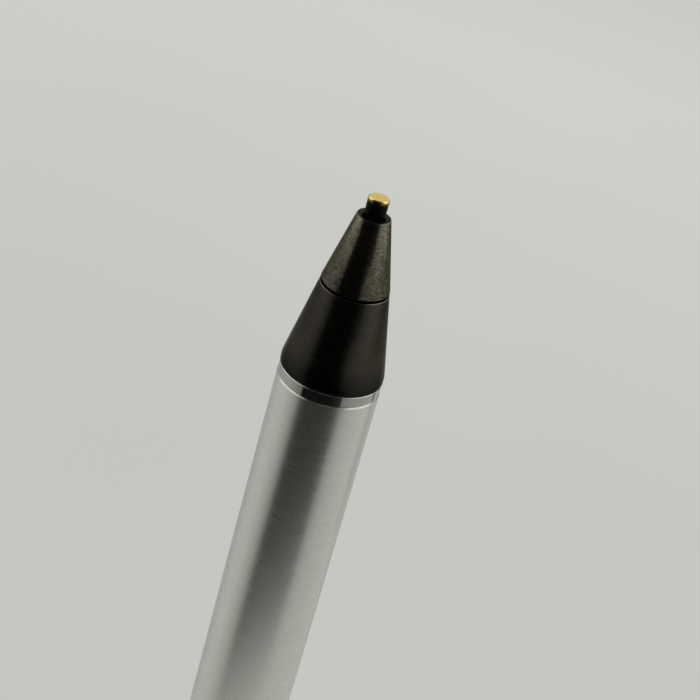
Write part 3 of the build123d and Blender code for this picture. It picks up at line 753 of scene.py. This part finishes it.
# Fired ceramic: tan, smooth and faintly speckled.
fired_ceramic = make_material(
    "fired_capacitor_ceramic", ("#a58358", "#b6946a"), (0.30, 0.42), grain=0.12, relief=0.002
)
# Moulded epoxy: near black, with the fine sandy grain of a chip package.
moulded_epoxy = make_material(
    "moulded_epoxy_package", ("#1b1b1c", "#262627"), (0.50, 0.66), grain=0.08, relief=0.004
)
# Drawn can: thin bright nickel silver, a little uneven from the press.
drawn_can = make_metal(
    "drawn_nickel_silver_can", ("#c3c1ba", "#d3d1ca"), (0.20, 0.30), grain=0.9, relief=0.003
)
place_material("boost_inductor", ferrite)
place_material("board_capacitors", fired_ceramic)
place_material("board_resistors", moulded_epoxy)
place_material("controller_chip", moulded_epoxy)


def add_block(mesh_data, corner, opposite, bevel):
    """Adds a box between two opposite corners, with its edges bevelled."""
    first, second = Vector(corner), Vector(opposite)
    made = bmesh.ops.create_cube(mesh_data, size=1.0)["verts"]
    bmesh.ops.scale(mesh_data, vec=[abs(length) for length in second - first], verts=made)
    bmesh.ops.translate(mesh_data, vec=(first + second) / 2, verts=made)
    edges = list(dict.fromkeys(edge for vert in made for edge in vert.link_edges))
    bmesh.ops.bevel(mesh_data, geom=edges, offset=bevel, segments=2, affect="EDGES", profile=0.5)


can_base = bmesh.new()
can_step = can_low.y + (can_high.y - can_low.y) * CAN_BASE_SHARE
base_top = (can_high.x, can_step, can_high.z)
add_block(can_base, (can_low.x, board_face, can_low.z), base_top, CAN_BASE_BEVEL)
fit(make_object("oscillator_base", can_base, [moulded_epoxy]), "front_module", "chip_moulding")
can_lid = bmesh.new()
lid_low = (can_low.x + CAN_INSET, board_face, can_low.z + CAN_INSET)
lid_high = (can_high.x - CAN_INSET, can_high.y, can_high.z - CAN_INSET)
add_block(can_lid, lid_low, lid_high, CAN_BEVEL)
oscillator_lid = make_object("oscillator_lid", can_lid, [drawn_can])
fit(oscillator_lid, "front_module", "oscillator_can", "oscillator")
pin_mark = spin(
    "chip_pin_mark",
    [(0, 0), (PIN_MARK_RADIUS, 0), (PIN_MARK_RADIUS, PIN_MARK_HEIGHT), (0, PIN_MARK_HEIGHT)],
    [switch_housing],
    sides=SMALL_ROUND_SIDES,
)
onto_face(pin_mark, chip_low.x + PIN_MARK_INSET, chip_high.y, chip_high.z - PIN_MARK_INSET)
fit(pin_mark, "front_module", "chip_moulding")


def add_chip_ends(mesh_data, across, height, length, width, tall):
    """Adds the two tinned ends of a chip part, with a sloping fillet of solder in front of each."""
    for hand in (-1, 1):
        outer = across + hand * (length / 2 + END_PROUD)
        inner = across + hand * (length / 2 - length * END_SHARE)
        low, high = height - width / 2, height + width / 2
        add_block(
            mesh_data,
            (outer, board_face, low - END_PROUD),
            (inner, board_face + tall + END_PROUD, high + END_PROUD),
            END_BEVEL,
        )
        foot = (outer + hand * FILLET_REACH, board_face)
        slope = ((outer, board_face), foot, (outer, board_face + tall * FILLET_RISE))
        add_bar(mesh_data, [[mesh_data.verts.new((x, y, along)) for x, y in slope] for along in (low, high)])


ends = bmesh.new()
chip_middle = (chip_low.z + chip_high.z) / 2
for hand in (-1, 1):
    for height in capacitor_heights:
        add_chip_ends(
            ends, hand * CAPACITOR_COLUMN, height, CAPACITOR_LENGTH, CAPACITOR_WIDTH, CAPACITOR_HEIGHT
        )
    for height in resistor_heights:
        add_chip_ends(ends, hand * RESISTOR_COLUMN, height, RESISTOR_LENGTH, RESISTOR_WIDTH, RESISTOR_HEIGHT)
    add_block(
        ends,
        (hand * (coil_high.x + COIL_END_PROUD), board_face, coil_middle - COIL_END_WIDTH / 2),
        (hand * (coil_high.x - COIL_END_LAP), board_face + COIL_END_HEIGHT, coil_middle + COIL_END_WIDTH / 2),
        COIL_END_BEVEL,
    )
    side_edge = hand * chip_high.x
    end_edge = chip_middle + hand * (chip_high.z - chip_low.z) / 2
    pad_top = board_face + PAD_HEIGHT
    for pad in range(CHIP_PADS):
        offset = (pad - (CHIP_PADS - 1) / 2) * LINE_PITCH
        low, high = offset - PAD_WIDTH / 2, offset + PAD_WIDTH / 2
        add_block(
            ends,
            (side_edge, board_face, chip_middle + low),
            (side_edge + hand * PAD_REACH, pad_top, chip_middle + high),
            PAD_BEVEL,
        )
        add_block(ends, (low, board_face, end_edge), (high, pad_top, end_edge + hand * PAD_REACH), PAD_BEVEL)
leg_end = board_bottom + LEG_LAP
leg_solder = LEG_WIDTH / 2 + LEG_SOLDER_SIDE
add_block(
    ends,
    (-leg_solder, board_face, leg_end - LEG_SOLDER_BACK),
    (leg_solder, board_face + LEG_SOLDER_HEIGHT, leg_end + LEG_SOLDER_FRONT),
    LEG_SOLDER_BEVEL,
)
fit(make_object("soldered_ends", ends, [solder]), "front_module", "plated_contact")

# Contacts on the chassis
# Stamped and plated contacts for the cell, the nib and the barrel, and the seat of the nib's spring.
# A ground steel pin fixes the chassis in the nose.
# Ground steel: a plain bright pin with faint lines round it.
ground_steel = make_metal(
    "ground_dowel_steel", ("#a7a7a5", "#bdbdba"), (0.22, 0.32), grain=(0.06, 0.8, 0.8), relief=0.0008
)
for plated in ("cell_contact", "tip_contact", "ground_clip", "spring_seat"):
    place_material(plated, plated_contact)
place_material("cross_pin", ground_steel)

# Trim ring
# A ring turned from bar and polished, with a fine bevel on both edges.
# It is clamped between the barrel and the nose.
RING_BEVEL = 0.08 * MM
RING_SIDES = 256
# Polished metal: mirror-like, with only a trace of the turning left.
polished_metal = make_metal(
    "polished_bright_metal", ("#adaea8", "#b6b7b1"), (0.05, 0.08), grain=(2.0, 2.0, 0.08), relief=0.00005
)
ring_low, ring_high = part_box("trim_ring")
trim_ring = spin(
    "polished_ring",
    [
        (bore_radius, ring_low.z),
        (ring_high.x - RING_BEVEL, ring_low.z),
        (ring_high.x, ring_low.z + RING_BEVEL),
        (ring_high.x, ring_high.z - RING_BEVEL),
        (ring_high.x - RING_BEVEL, ring_high.z),
        (bore_radius, ring_high.z),
    ],
    [polished_metal, cut_aluminium],
    bright=BEVEL_LEAN,
    sides=RING_SIDES,
)
fit(trim_ring, "front_module", "polished_metal", "trim_ring")

# Nose cone
# Turned from aluminium bar and anodised satin black. Its grip screws into the barrel and has a groove for the
# seal, and the tip sleeve screws on to its neck.
GRIP_CLEARANCE = 0.05 * MM
GRIP_ROOT_STEP = 0.25 * MM
GRIP_EDGE = 0.08 * MM
NOSE_THREAD_DEPTH = 0.22 * MM
NOSE_SIDES = 224
SEAL_WIDTH = 0.7 * MM
SEAL_GROOVE_DEPTH = 0.68 * MM
SEAL_GROOVE_EDGE = 0.04 * MM
SEAL_GROOVE_CORNER = 0.05 * MM
NOSE_LAND = 0.65 * MM
NOSE_FOOT = 0.12 * MM
NOSE_BLEND = 2.5 * MM
NOSE_EDGE_HEIGHT = 0.062 * MM
NOSE_EDGE_WIDTH = 0.6 * NOSE_EDGE_HEIGHT
GROOVE_WIDTH = 0.19 * MM
GROOVE_DEPTH = 0.4 * MM
NECK_RADIUS = 1.7 * MM
NECK_PITCH = 0.35 * MM
NECK_DEPTH = 0.2 * MM
NECK_EDGE = 0.06 * MM
SPRING_BORE = 1.1 * MM
STEM_BORE = 0.67 * MM
GUIDE_LENGTH = 1.2 * MM
BOSS_BORE = 2.35 * MM
PIN_HOLE_RADIUS = 0.53 * MM
# Painted shade on the nose: the share of its colour at the foot, and where the shade starts and ends above
# the ring.
NOSE_PAINTED_SHADE = 0.38
NOSE_PAINTED_SHADE_START = 0.3 * MM
NOSE_PAINTED_SHADE_END = 2.6 * MM
nose_low, nose_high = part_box("nose_cone")
sleeve_low, sleeve_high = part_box("tip_sleeve")
# Satin black anodising: a dark glassy oxide over fine turning lines, drawn 0.1 mm wide, that mirror a little.
# Painted shade makes it darkest at its foot, above the ring.
black_anodised = make_metal(
    "satin_black_anodised_aluminium",
    ("#403e37", "#4a463f"),
    (0.21, 0.30),
    grain=(3.0, 3.0, 0.1),
    relief=0.0014,
    fade=("Z", ring_high.z + NOSE_PAINTED_SHADE_START, ring_high.z + NOSE_PAINTED_SHADE_END, NOSE_PAINTED_SHADE),
    Specular_Tint=linear("#bebebe"),
)
# Painted highlight: a paler copy of the anodised metal on the sharp edges, which paints the bright line along
# them.
edge_painted_highlight = make_metal(
    "rubbed_black_anodised_edge", ("#77776f", "#909087"), (0.18, 0.26), grain=(0.8, 0.8, 0.1), relief=0.001
)
nose_tip = sleeve_low.z - GROOVE_WIDTH
nose_edge = nose_tip - NOSE_EDGE_HEIGHT
nose_land = ring_high.z + NOSE_LAND
nose_lean = (nose_high.x - sleeve_high.x) / (sleeve_low.z - nose_land)
nose_tip_radius = nose_high.x - nose_lean * (nose_tip - nose_land)
groove_radius = sleeve_high.x - GROOVE_DEPTH
grip_radius = bore_radius - GRIP_CLEARANCE
grip_root = grip_radius - GRIP_ROOT_STEP
seal_radius = grip_radius - SEAL_GROOVE_DEPTH
seal_middle = (thread_top + barrel_front) / 2
seal_bottom = seal_middle - SEAL_WIDTH / 2
seal_top = seal_middle + SEAL_WIDTH / 2
seat_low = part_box("spring_seat")[0].z
nose_cone = spin(
    "black_nose",
    [
        (BOSS_BORE, nose_low.z),
        (grip_root, nose_low.z),
        (grip_root, thread_top),
        (grip_radius, thread_top, GRIP_EDGE),
        (grip_radius, seal_bottom, SEAL_GROOVE_EDGE),
        (seal_radius, seal_bottom, SEAL_GROOVE_CORNER),
        (seal_radius, seal_top, SEAL_GROOVE_CORNER),
        (grip_radius, seal_top, SEAL_GROOVE_EDGE),
        (grip_radius, ring_high.z),
        (nose_high.x, ring_high.z, NOSE_FOOT),
        (nose_high.x, nose_land, NOSE_BLEND),
        (nose_tip_radius, nose_edge),
        (nose_tip_radius - NOSE_EDGE_WIDTH, nose_tip),
        (groove_radius, nose_tip),
        (groove_radius, sleeve_low.z),
        (NECK_RADIUS, sleeve_low.z),
        (NECK_RADIUS, nose_high.z),
        (SPRING_BORE, nose_high.z, NECK_EDGE),
        (SPRING_BORE, seat_low),
        (STEM_BORE, seat_low),
        (STEM_BORE, seat_low - GUIDE_LENGTH),
        (BOSS_BORE, seat_low - GUIDE_LENGTH),
    ],
    [black_anodised, edge_painted_highlight],
    threads=[(grip_root, NOSE_THREAD_PITCH, NOSE_THREAD_DEPTH), (NECK_RADIUS, NECK_PITCH, NECK_DEPTH)],
    sides=NOSE_SIDES,
)
# The bevel at the tip of the nose takes the paler edge material, which paints its highlight.
for face in nose_cone.data.polygons:
    if nose_edge < face.center.z < nose_tip and BEVEL_LEAN[0] < face.normal.z < BEVEL_LEAN[1]:
        face.material_index = 1
# The grip is drilled right across for the pin that holds the chassis.
pin_low, pin_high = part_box("cross_pin")
drill_data = bmesh.new()
bmesh.ops.create_cone(
    drill_data,
    cap_ends=True,
    segments=SMALL_ROUND_SIDES,
    radius1=PIN_HOLE_RADIUS,
    radius2=PIN_HOLE_RADIUS,
    depth=3 * grip_radius,
)
drill_place = Matrix.Translation((pin_low + pin_high) / 2) @ Matrix.Rotation(math.radians(90), 4, "Y")
bmesh.ops.transform(drill_data, matrix=drill_place, verts=drill_data.verts)
drill = make_object("pin_drill", drill_data, [black_anodised])
drilling = nose_cone.modifiers.new("pin_hole", "BOOLEAN")
drilling.object = drill
bpy.context.view_layer.update()
drilled = nose_cone.evaluated_get(bpy.context.evaluated_depsgraph_get())
nose_cone.data = bpy.data.meshes.new_from_object(drilled)
nose_cone.modifiers.clear()
nose_cone.data.set_sharp_from_angle(angle=SHARP_ANGLE)
bpy.data.objects.remove(drill)
fit(nose_cone, "front_module", "black_aluminium", "nose_cone")

# Nose seal
# A ring moulded in rubber with a round section.
# It lies in the groove of the grip, squeezed by the bore.
SEAL_STEPS = 24
# Moulded rubber: black and dull, with a fine bloom.
seal_rubber = make_material(
    "moulded_nitrile_rubber", ("#121213", "#1c1c1d"), (0.55, 0.72), grain=0.3, relief=0.003
)
seal_low, seal_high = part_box("nose_seal")
seal_section = SEAL_WIDTH / 2
seal_outline = []
for step in range(SEAL_STEPS):
    angle = math.tau * step / SEAL_STEPS
    seal_reach = seal_high.x - seal_section + seal_section * math.cos(angle)
    seal_height = (seal_low.z + seal_high.z) / 2 + seal_section * math.sin(angle)
    seal_outline.append((seal_reach, seal_height))
fit(spin("rubber_seal", seal_outline, [seal_rubber]), "front_module", "seal_rubber", "nose_seal")

# Nib spring
# A fine coil of the same drawn steel as the springs of the tail, with closed ends.
# It stands on its seat in the neck of the nose and pushes the flange of the nib forward.
NIB_WIRE = 0.22 * MM
NIB_TURNS = 7.5
nib_spring = wind("nib_return_spring", "nib_spring", NIB_WIRE, NIB_TURNS)
fit(nib_spring, "front_module", "spring_wire", "nib_spring")
press(nib_spring)

# Nib stem
# The nib's insulating body, turned from black engineering plastic.
# Its tail runs in the nose, and the sleeve stops its flange.
PIN_RADIUS = 0.35 * MM
STEM_TAIL_RADIUS = 0.62 * MM
STEM_TAIL_EDGE = 0.1 * MM
NIB_RADIUS = 0.95 * MM
NIB_SIDES = 128
FLANGE_THICKNESS = 0.6 * MM
FLANGE_EDGE = 0.08 * MM
FLANGE_CLEARANCE = 0.1 * MM
# Turned acetal: deep black and dull, with faint lines from the lathe.
black_acetal = make_material(
    "turned_black_acetal",
    ("#020203", "#050506"),
    (0.42, 0.55),
    grain=(1.2, 1.2, 0.09),
    relief=0.0015,
    Specular_IOR_Level=0.05,
)
stem_low, stem_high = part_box("nib_stem")
flange_bottom = nose_high.z + travel("nib_press") + FLANGE_CLEARANCE
flange_top = flange_bottom + FLANGE_THICKNESS
nib_stem = spin(
    "nib_body",
    [
        (PIN_RADIUS, stem_low.z),
        (STEM_TAIL_RADIUS, stem_low.z, STEM_TAIL_EDGE),
        (STEM_TAIL_RADIUS, flange_bottom),
        (stem_high.x, flange_bottom, FLANGE_EDGE),
        (stem_high.x, flange_top, FLANGE_EDGE),
        (NIB_RADIUS, flange_top),
        (NIB_RADIUS, stem_high.z),
        (PIN_RADIUS, stem_high.z),
    ],
    [black_acetal],
    sides=NIB_SIDES,
)
fit(nib_stem, "nib", "black_insulator", "nib_stem")

# Nib contact
# A pin turned from brass and gold plated, pressed through the stem.
# Its flat head is what touches the screen.
PIN_EDGE = 0.12 * MM
HEAD_THICKNESS = 0.42 * MM
HEAD_BAND = 0.18 * MM
HEAD_BEVEL = 0.12 * MM
HEAD_BEVEL_HEIGHT = 0.15 * MM
HEAD_EDGE = 0.03 * MM
HEAD_HIGHLIGHT_LEAN = (0.05, 0.9)
# Gold plate: rich yellow metal, faintly brushed on the face by use. Its edge takes the painted highlight
# below.
gold_plate = make_metal(
    "gold_plated_brass", ("#fbd76e", "#ffe188"), (0.11, 0.19), grain=(0.5, 0.07, 0.2), relief=0.0010
)
# Painted highlight: a paler copy of the gold plate on the bevelled edge, which paints the bright glints
# there.
gold_painted_highlight = make_metal(
    "burnished_gold_edge", ("#ffdd80", "#ffe9a0"), (0.09, 0.14), grain=0.3, relief=0.0002
)
# Painted shade: a dark brown copy of the gold plate on the lower side of the head, which paints the shade
# under its edge.
gold_painted_shade = make_metal(
    "tarnished_brass_under_plate", ("#4c350a", "#665018"), (0.22, 0.34), grain=0.15, relief=0.0005
)
contact_low, contact_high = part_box("nib_contact")
head_bottom = contact_high.z - HEAD_THICKNESS
painted_shade_top = contact_high.z - HEAD_BAND
nib_contact = spin(
    "gold_contact",
    [
        (0, contact_low.z),
        (PIN_RADIUS, contact_low.z, PIN_EDGE),
        (PIN_RADIUS, head_bottom),
        (contact_high.x, head_bottom, HEAD_EDGE),
        (contact_high.x, painted_shade_top),
        (contact_high.x, contact_high.z - HEAD_BEVEL_HEIGHT),
        (contact_high.x - HEAD_BEVEL, contact_high.z, HEAD_EDGE),
        (0, contact_high.z),
    ],
    [gold_plate, gold_painted_highlight, gold_painted_shade],
    bright=HEAD_HIGHLIGHT_LEAN,
    sides=NIB_SIDES,
)
# The lower side of the head takes the dark copy of the gold, which paints the shade under its edge.
for face in nib_contact.data.polygons:
    if face.center.xy.length > PIN_RADIUS and face.center.z < painted_shade_top:
        face.material_index = 2
fit(nib_contact, "nib", "gold_plate", "nib_contact")

# Tip sleeve
# The front cone: turned from the same bar but left rougher before it was anodised, so greyer than the nose.
# It screws on to the neck, holds the nib in by its flange and leaves a fine groove above the nose.
GROOVE_LIP = 0.1 * MM
GROOVE_LIP_EDGE = 0.02 * MM
SLEEVE_SIDES = 192
SLEEVE_THREAD_RADIUS = 1.95 * MM
SLEEVE_THREAD_DEPTH = 0.13 * MM
SLEEVE_THREAD_EDGE = 0.08 * MM
SLEEVE_TIP_RADIUS = 1.535 * MM
SLEEVE_BORE = 1.03 * MM
SLEEVE_RIM = 0.16 * MM
SLEEVE_RIM_EDGE = 0.03 * MM
SLEEVE_BEVEL = 0.1 * MM
SLEEVE_BEVEL_WIDTH = 0.035 * MM
SLEEVE_DISH = 0.1 * MM
FLANGE_ROOM = 1.5 * MM
EDGE_HIGHLIGHT_LEAN = (0.4, 0.9)
FACED_LEAN = 0.5
# Painted shade on the sleeve: the share of its colour at the groove, and how far past the tip the shade ends.
SLEEVE_PAINTED_SHADE = 0.39
SLEEVE_PAINTED_SHADE_PAST = 4.2 * MM
# Rough black anodising: grey glints from turning marks, drawn 0.12 mm wide, coarser than real ones, so that
# they show. Painted shade darkens it towards the groove.
rough_anodised = make_metal(
    "rough_turned_black_anodised_aluminium",
    ("#6a6657", "#aea997"),
    (0.16, 0.22),
    grain=(0.45, 0.45, 0.12),
    relief=0.0019,
    fade=("Z", sleeve_low.z, sleeve_high.z + SLEEVE_PAINTED_SHADE_PAST, SLEEVE_PAINTED_SHADE),
    Specular_Tint=linear("#a4a4a4"),
)
# Faced black anodising: the smooth end face and the bore, darker than the cone.
faced_anodised = make_metal(
    "faced_black_anodised_aluminium",
    ("#48473f", "#555349"),
    (0.30, 0.40),
    grain=0.12,
    relief=0.001,
    Specular_Tint=linear("#a0a0a0"),
)
sleeve_thread_root = SLEEVE_THREAD_RADIUS + SLEEVE_THREAD_DEPTH
lip_top = sleeve_low.z + GROOVE_LIP
sleeve_lean = (sleeve_high.x - SLEEVE_TIP_RADIUS) / (sleeve_high.z - lip_top)
bevel_inner = SLEEVE_TIP_RADIUS - SLEEVE_BEVEL_WIDTH
rim_inner = SLEEVE_TIP_RADIUS - SLEEVE_RIM
sleeve = spin(
    "tip_cone",
    [
        (SLEEVE_THREAD_RADIUS, sleeve_low.z, SLEEVE_THREAD_EDGE),
        (groove_radius, sleeve_low.z),
        (groove_radius, lip_top),
        (sleeve_high.x, lip_top, GROOVE_LIP_EDGE),
        (SLEEVE_TIP_RADIUS + sleeve_lean * SLEEVE_BEVEL, sleeve_high.z - SLEEVE_BEVEL),
        (bevel_inner, sleeve_high.z),
        (rim_inner, sleeve_high.z, SLEEVE_RIM_EDGE),
        (SLEEVE_BORE, sleeve_high.z - SLEEVE_DISH, SLEEVE_RIM_EDGE),
        (SLEEVE_BORE, flange_top),
        (FLANGE_ROOM, flange_top),
        (FLANGE_ROOM, nose_high.z),
        (sleeve_thread_root, nose_high.z),
        (sleeve_thread_root, sleeve_low.z + NECK_PITCH),
        (SLEEVE_THREAD_RADIUS, sleeve_low.z + NECK_PITCH),
    ],
    [rough_anodised, edge_painted_highlight, faced_anodised],
    threads=[(sleeve_thread_root, NECK_PITCH, -SLEEVE_THREAD_DEPTH)],
    sides=SLEEVE_SIDES,
)
# The rim's bevel takes the paler edge material, which paints its highlight; the end face and the bore take
# the faced finish.
for face in sleeve.data.polygons:
    reach = face.center.xy.length
    if EDGE_HIGHLIGHT_LEAN[0] < face.normal.z < EDGE_HIGHLIGHT_LEAN[1] and reach > bevel_inner:
        face.material_index = 1
    elif face.normal.z > FACED_LEAN or reach < rim_inner:
        face.material_index = 2
fit(sleeve, "tip_sleeve", "black_aluminium_rough", "tip_sleeve")

# Studio
# A plain pale floor, an even pale surround, soft boxes on both sides and black flags bent round the pen.
# The flags are seen only in reflections, where they draw dark bands down the metal.
FLOOR_SIZE = 6.0
FLOOR_GAP = 0.2 * MM
# Painted shade on the floor: darker near the pen than behind it, along Y.
FLOOR_PAINTED_SHADE = ("Y", 0.2, 0.47, 0.83)
SURROUND_STRENGTH = 0.66
# Each soft box has its name, its place, its width and its power in watts.
SOFT_BOXES = (
    ("left", (-0.45, 0.1, 0.6), 0.55, 0.85),
    ("right", (0.45, 0.1, 0.6), 0.55, 0.85),
    ("side", (0.5, -0.05, 0.26), 0.4, 0.06),
)
FLAG_DISTANCE = 0.1
FLAG_LOWEST = 1.0 * MM
FOOT_LEFT = -47
FOOT_RIGHT = 41
# Matt board: pale and without shine, with painted shade that makes it a little darker near the pen than
# behind it.
pale_floor = make_material(
    "pale_matt_board",
    ("#ededea", "#f0f0ed"),
    (0.85, 0.95),
    grain=300,
    relief=0.0,
    fade=FLOOR_PAINTED_SHADE,
    Specular_IOR_Level=0.0,
)
floor_data = bmesh.new()
bmesh.ops.create_grid(floor_data, x_segments=1, y_segments=1, size=FLOOR_SIZE / 2)
bmesh.ops.translate(floor_data, verts=floor_data.verts, vec=(0, 0, -FLOOR_GAP))
floor = make_object("studio_floor", floor_data, [pale_floor])
floor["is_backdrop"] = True

# Flag cloth: black, and woven thinner towards its sides, so that it ends softly in the metal.
black_cloth = make_material("black_flag_cloth", ("#050505", "#070707"), (0.9, 1.0), grain=10, relief=0.0)
cloth_tree = black_cloth.node_tree
weave = add_node(cloth_tree, "TexCoord", "UV")
density = add_node(cloth_tree, "SeparateXYZ", "X", {"Vector": weave})
cloth_tree.links.new(density, cloth_tree.nodes["Principled BSDF"].inputs["Alpha"])


def hang_flag(name, columns, rows, foot_rise=0.0):
    """Hangs a flag bent round the pen.

    columns are (azimuth in degrees, density), and rows are (height, density). A row may also stretch the left
    and the right half of the flag. The foot rises by foot_rise between the azimuths FOOT_LEFT and FOOT_RIGHT.
    """
    cloth = bmesh.new()
    woven = cloth.loops.layers.uv.new("weave")
    made = []
    for azimuth, thick in columns:
        column = []
        for row, (height, share, *stretches) in enumerate(rows):
            left, right = stretches or (1, 1)
            angle = math.radians(azimuth * (right if azimuth > 0 else left))
            if row == 0:
                height += foot_rise * (azimuth - FOOT_LEFT) / (FOOT_RIGHT - FOOT_LEFT)
            across, back = FLAG_DISTANCE * math.sin(angle), -FLAG_DISTANCE * math.cos(angle)
            column.append((cloth.verts.new((across, back, max(FLAG_LOWEST, height))), thick * share))
        made.append(column)
    for left, right in zip(made, made[1:]):
        for row in range(len(rows) - 1):
            corners = (left[row], right[row], right[row + 1], left[row + 1])
            face = cloth.faces.new([vert for vert, thick in corners])
            for loop, (vert, thick) in zip(face.loops, corners):
                loop[woven].uv = (thick, 0)
    flag = make_object(name, cloth, [black_cloth])
    for way in ("camera", "diffuse", "shadow", "transmission", "volume_scatter"):
        setattr(flag, f"visible_{way}", False)
    flag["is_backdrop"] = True


# The band of the front flag is not equally wide all the way down the pen, so its rows are stretched.
hang_flag(
    "front_flag",
    columns=(
        (-89, 0.0), (-67, 0.22), (-52, 0.55), (-48, 1.0), (-30, 1.0), (-15, 1.0), (0, 1.0), (15, 1.0),
        (30, 0.97), (41, 0.92), (44, 0.45), (55, 0.3), (67, 0.18), (89, 0.09), (110, 0.0),
    ),
    rows=(
        (0.014, 1.0, 1.0, 1.1), (0.03, 1.0, 1.0, 1.04), (0.05, 1.0, 1.0, 0.94), (0.065, 1.0, 1.0, 0.94),
        (0.085, 1.0, 1.0, 0.9), (0.113, 1.0, 1.0, 0.65), (0.124, 1.0, 1.0, 0.52), (0.134, 1.0, 1.0, 0.8),
        (0.142, 1.0, 1.0, 1.05), (0.156, 1.0, 1.05, 1.08), (0.17, 1.0, 1.45, 1.4), (0.195, 1.0, 1.45, 1.4),
        (0.215, 1.0, 1.0, 1.1), (0.31, 1.0, 1.0, 1.1),
    ),
    foot_rise=0.016,
)
hang_flag(
    "back_flag",
    columns=((-212, 0.0), (-196, 0.5), (-180, 0.7), (-166, 0.5), (-152, 0.0)),
    rows=((0.004, 0.0), (0.03, 1.0), (0.1, 1.0), (0.14, 0.0)),
)
hang_flag(
    "left_flag",
    columns=((-160, 0.0), (-142, 0.25), (-128, 0.1), (-116, 0.0)),
    rows=((0.001, 1.0), (0.065, 1.0), (0.09, 0.0)),
)
hang_flag(
    "right_flag",
    columns=((123, 0.0), (127, 0.55), (132, 0.55), (136, 0.0)),
    rows=((0.046, 1.0), (0.07, 1.0), (0.09, 0.0)),
)
hang_flag(
    "collar_flag",
    columns=(
        (-285, 0.0), (-268, 0.2), (-248, 0.45), (-210, 0.45), (-194, 0.0), (-166, 0.0), (-150, 0.45),
        (-112, 0.35), (-92, 0.1), (-80, 0.0),
    ),
    rows=((0.108, 0.0), (0.114, 1.0), (0.126, 1.0), (0.136, 0.0)),
)

world = bpy.data.worlds.new("studio_surround")
bpy.context.scene.world = world
world.use_nodes = True
surround = world.node_tree.nodes["Background"]
surround.inputs["Color"].default_value = linear("#f3f3f0")
surround.inputs["Strength"].default_value = SURROUND_STRENGTH
for name, place, width, power in SOFT_BOXES:
    lamp = bpy.data.lights.new(f"soft_box_{name}", "AREA")
    lamp.shape = "SQUARE"
    lamp.size = width
    lamp.energy = power
    box = bpy.data.objects.new(f"soft_box_{name}", lamp)
    box.location = place
    aim = Vector((0, 0, barrel_front)) - Vector(place)
    box.rotation_euler = aim.to_track_quat("-Z", "Y").to_euler()
    bpy.context.scene.collection.objects.link(box)

# Camera
# It stands where the photograph was taken from: above the nib, looking down the pen and rolled to the side.
PICTURE_WIDTH = 700
FOCAL_PIXELS = 1899.2
EYE = Vector((0.0, -149.59 * MM, barrel_front + 82.89 * MM))
PITCH = math.radians(27.956)
YAW = math.radians(0.430)
ROLL = math.radians(-15.80)
NEAREST = 1.0 * MM
forward = Vector((math.sin(YAW) * math.cos(PITCH), math.cos(YAW) * math.cos(PITCH), -math.sin(PITCH)))
level = Vector((math.cos(YAW), -math.sin(YAW), 0))
below = forward.cross(level)
rightward = math.cos(ROLL) * level + math.sin(ROLL) * below
downward = math.cos(ROLL) * below - math.sin(ROLL) * level
axes = Matrix((rightward, -downward, -forward)).transposed()
camera_data = bpy.data.cameras.new("camera")
camera_data.lens = camera_data.sensor_width * FOCAL_PIXELS / PICTURE_WIDTH
camera_data.clip_start = NEAREST
camera = bpy.data.objects.new("camera", camera_data)
camera.matrix_world = Matrix.Translation(EYE) @ axes.to_4x4()
bpy.context.scene.collection.objects.link(camera)
bpy.context.scene.camera = camera
bpy.context.scene.view_settings.view_transform = "Standard"

# Sizes
# The box of what the scene shows.
low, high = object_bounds()
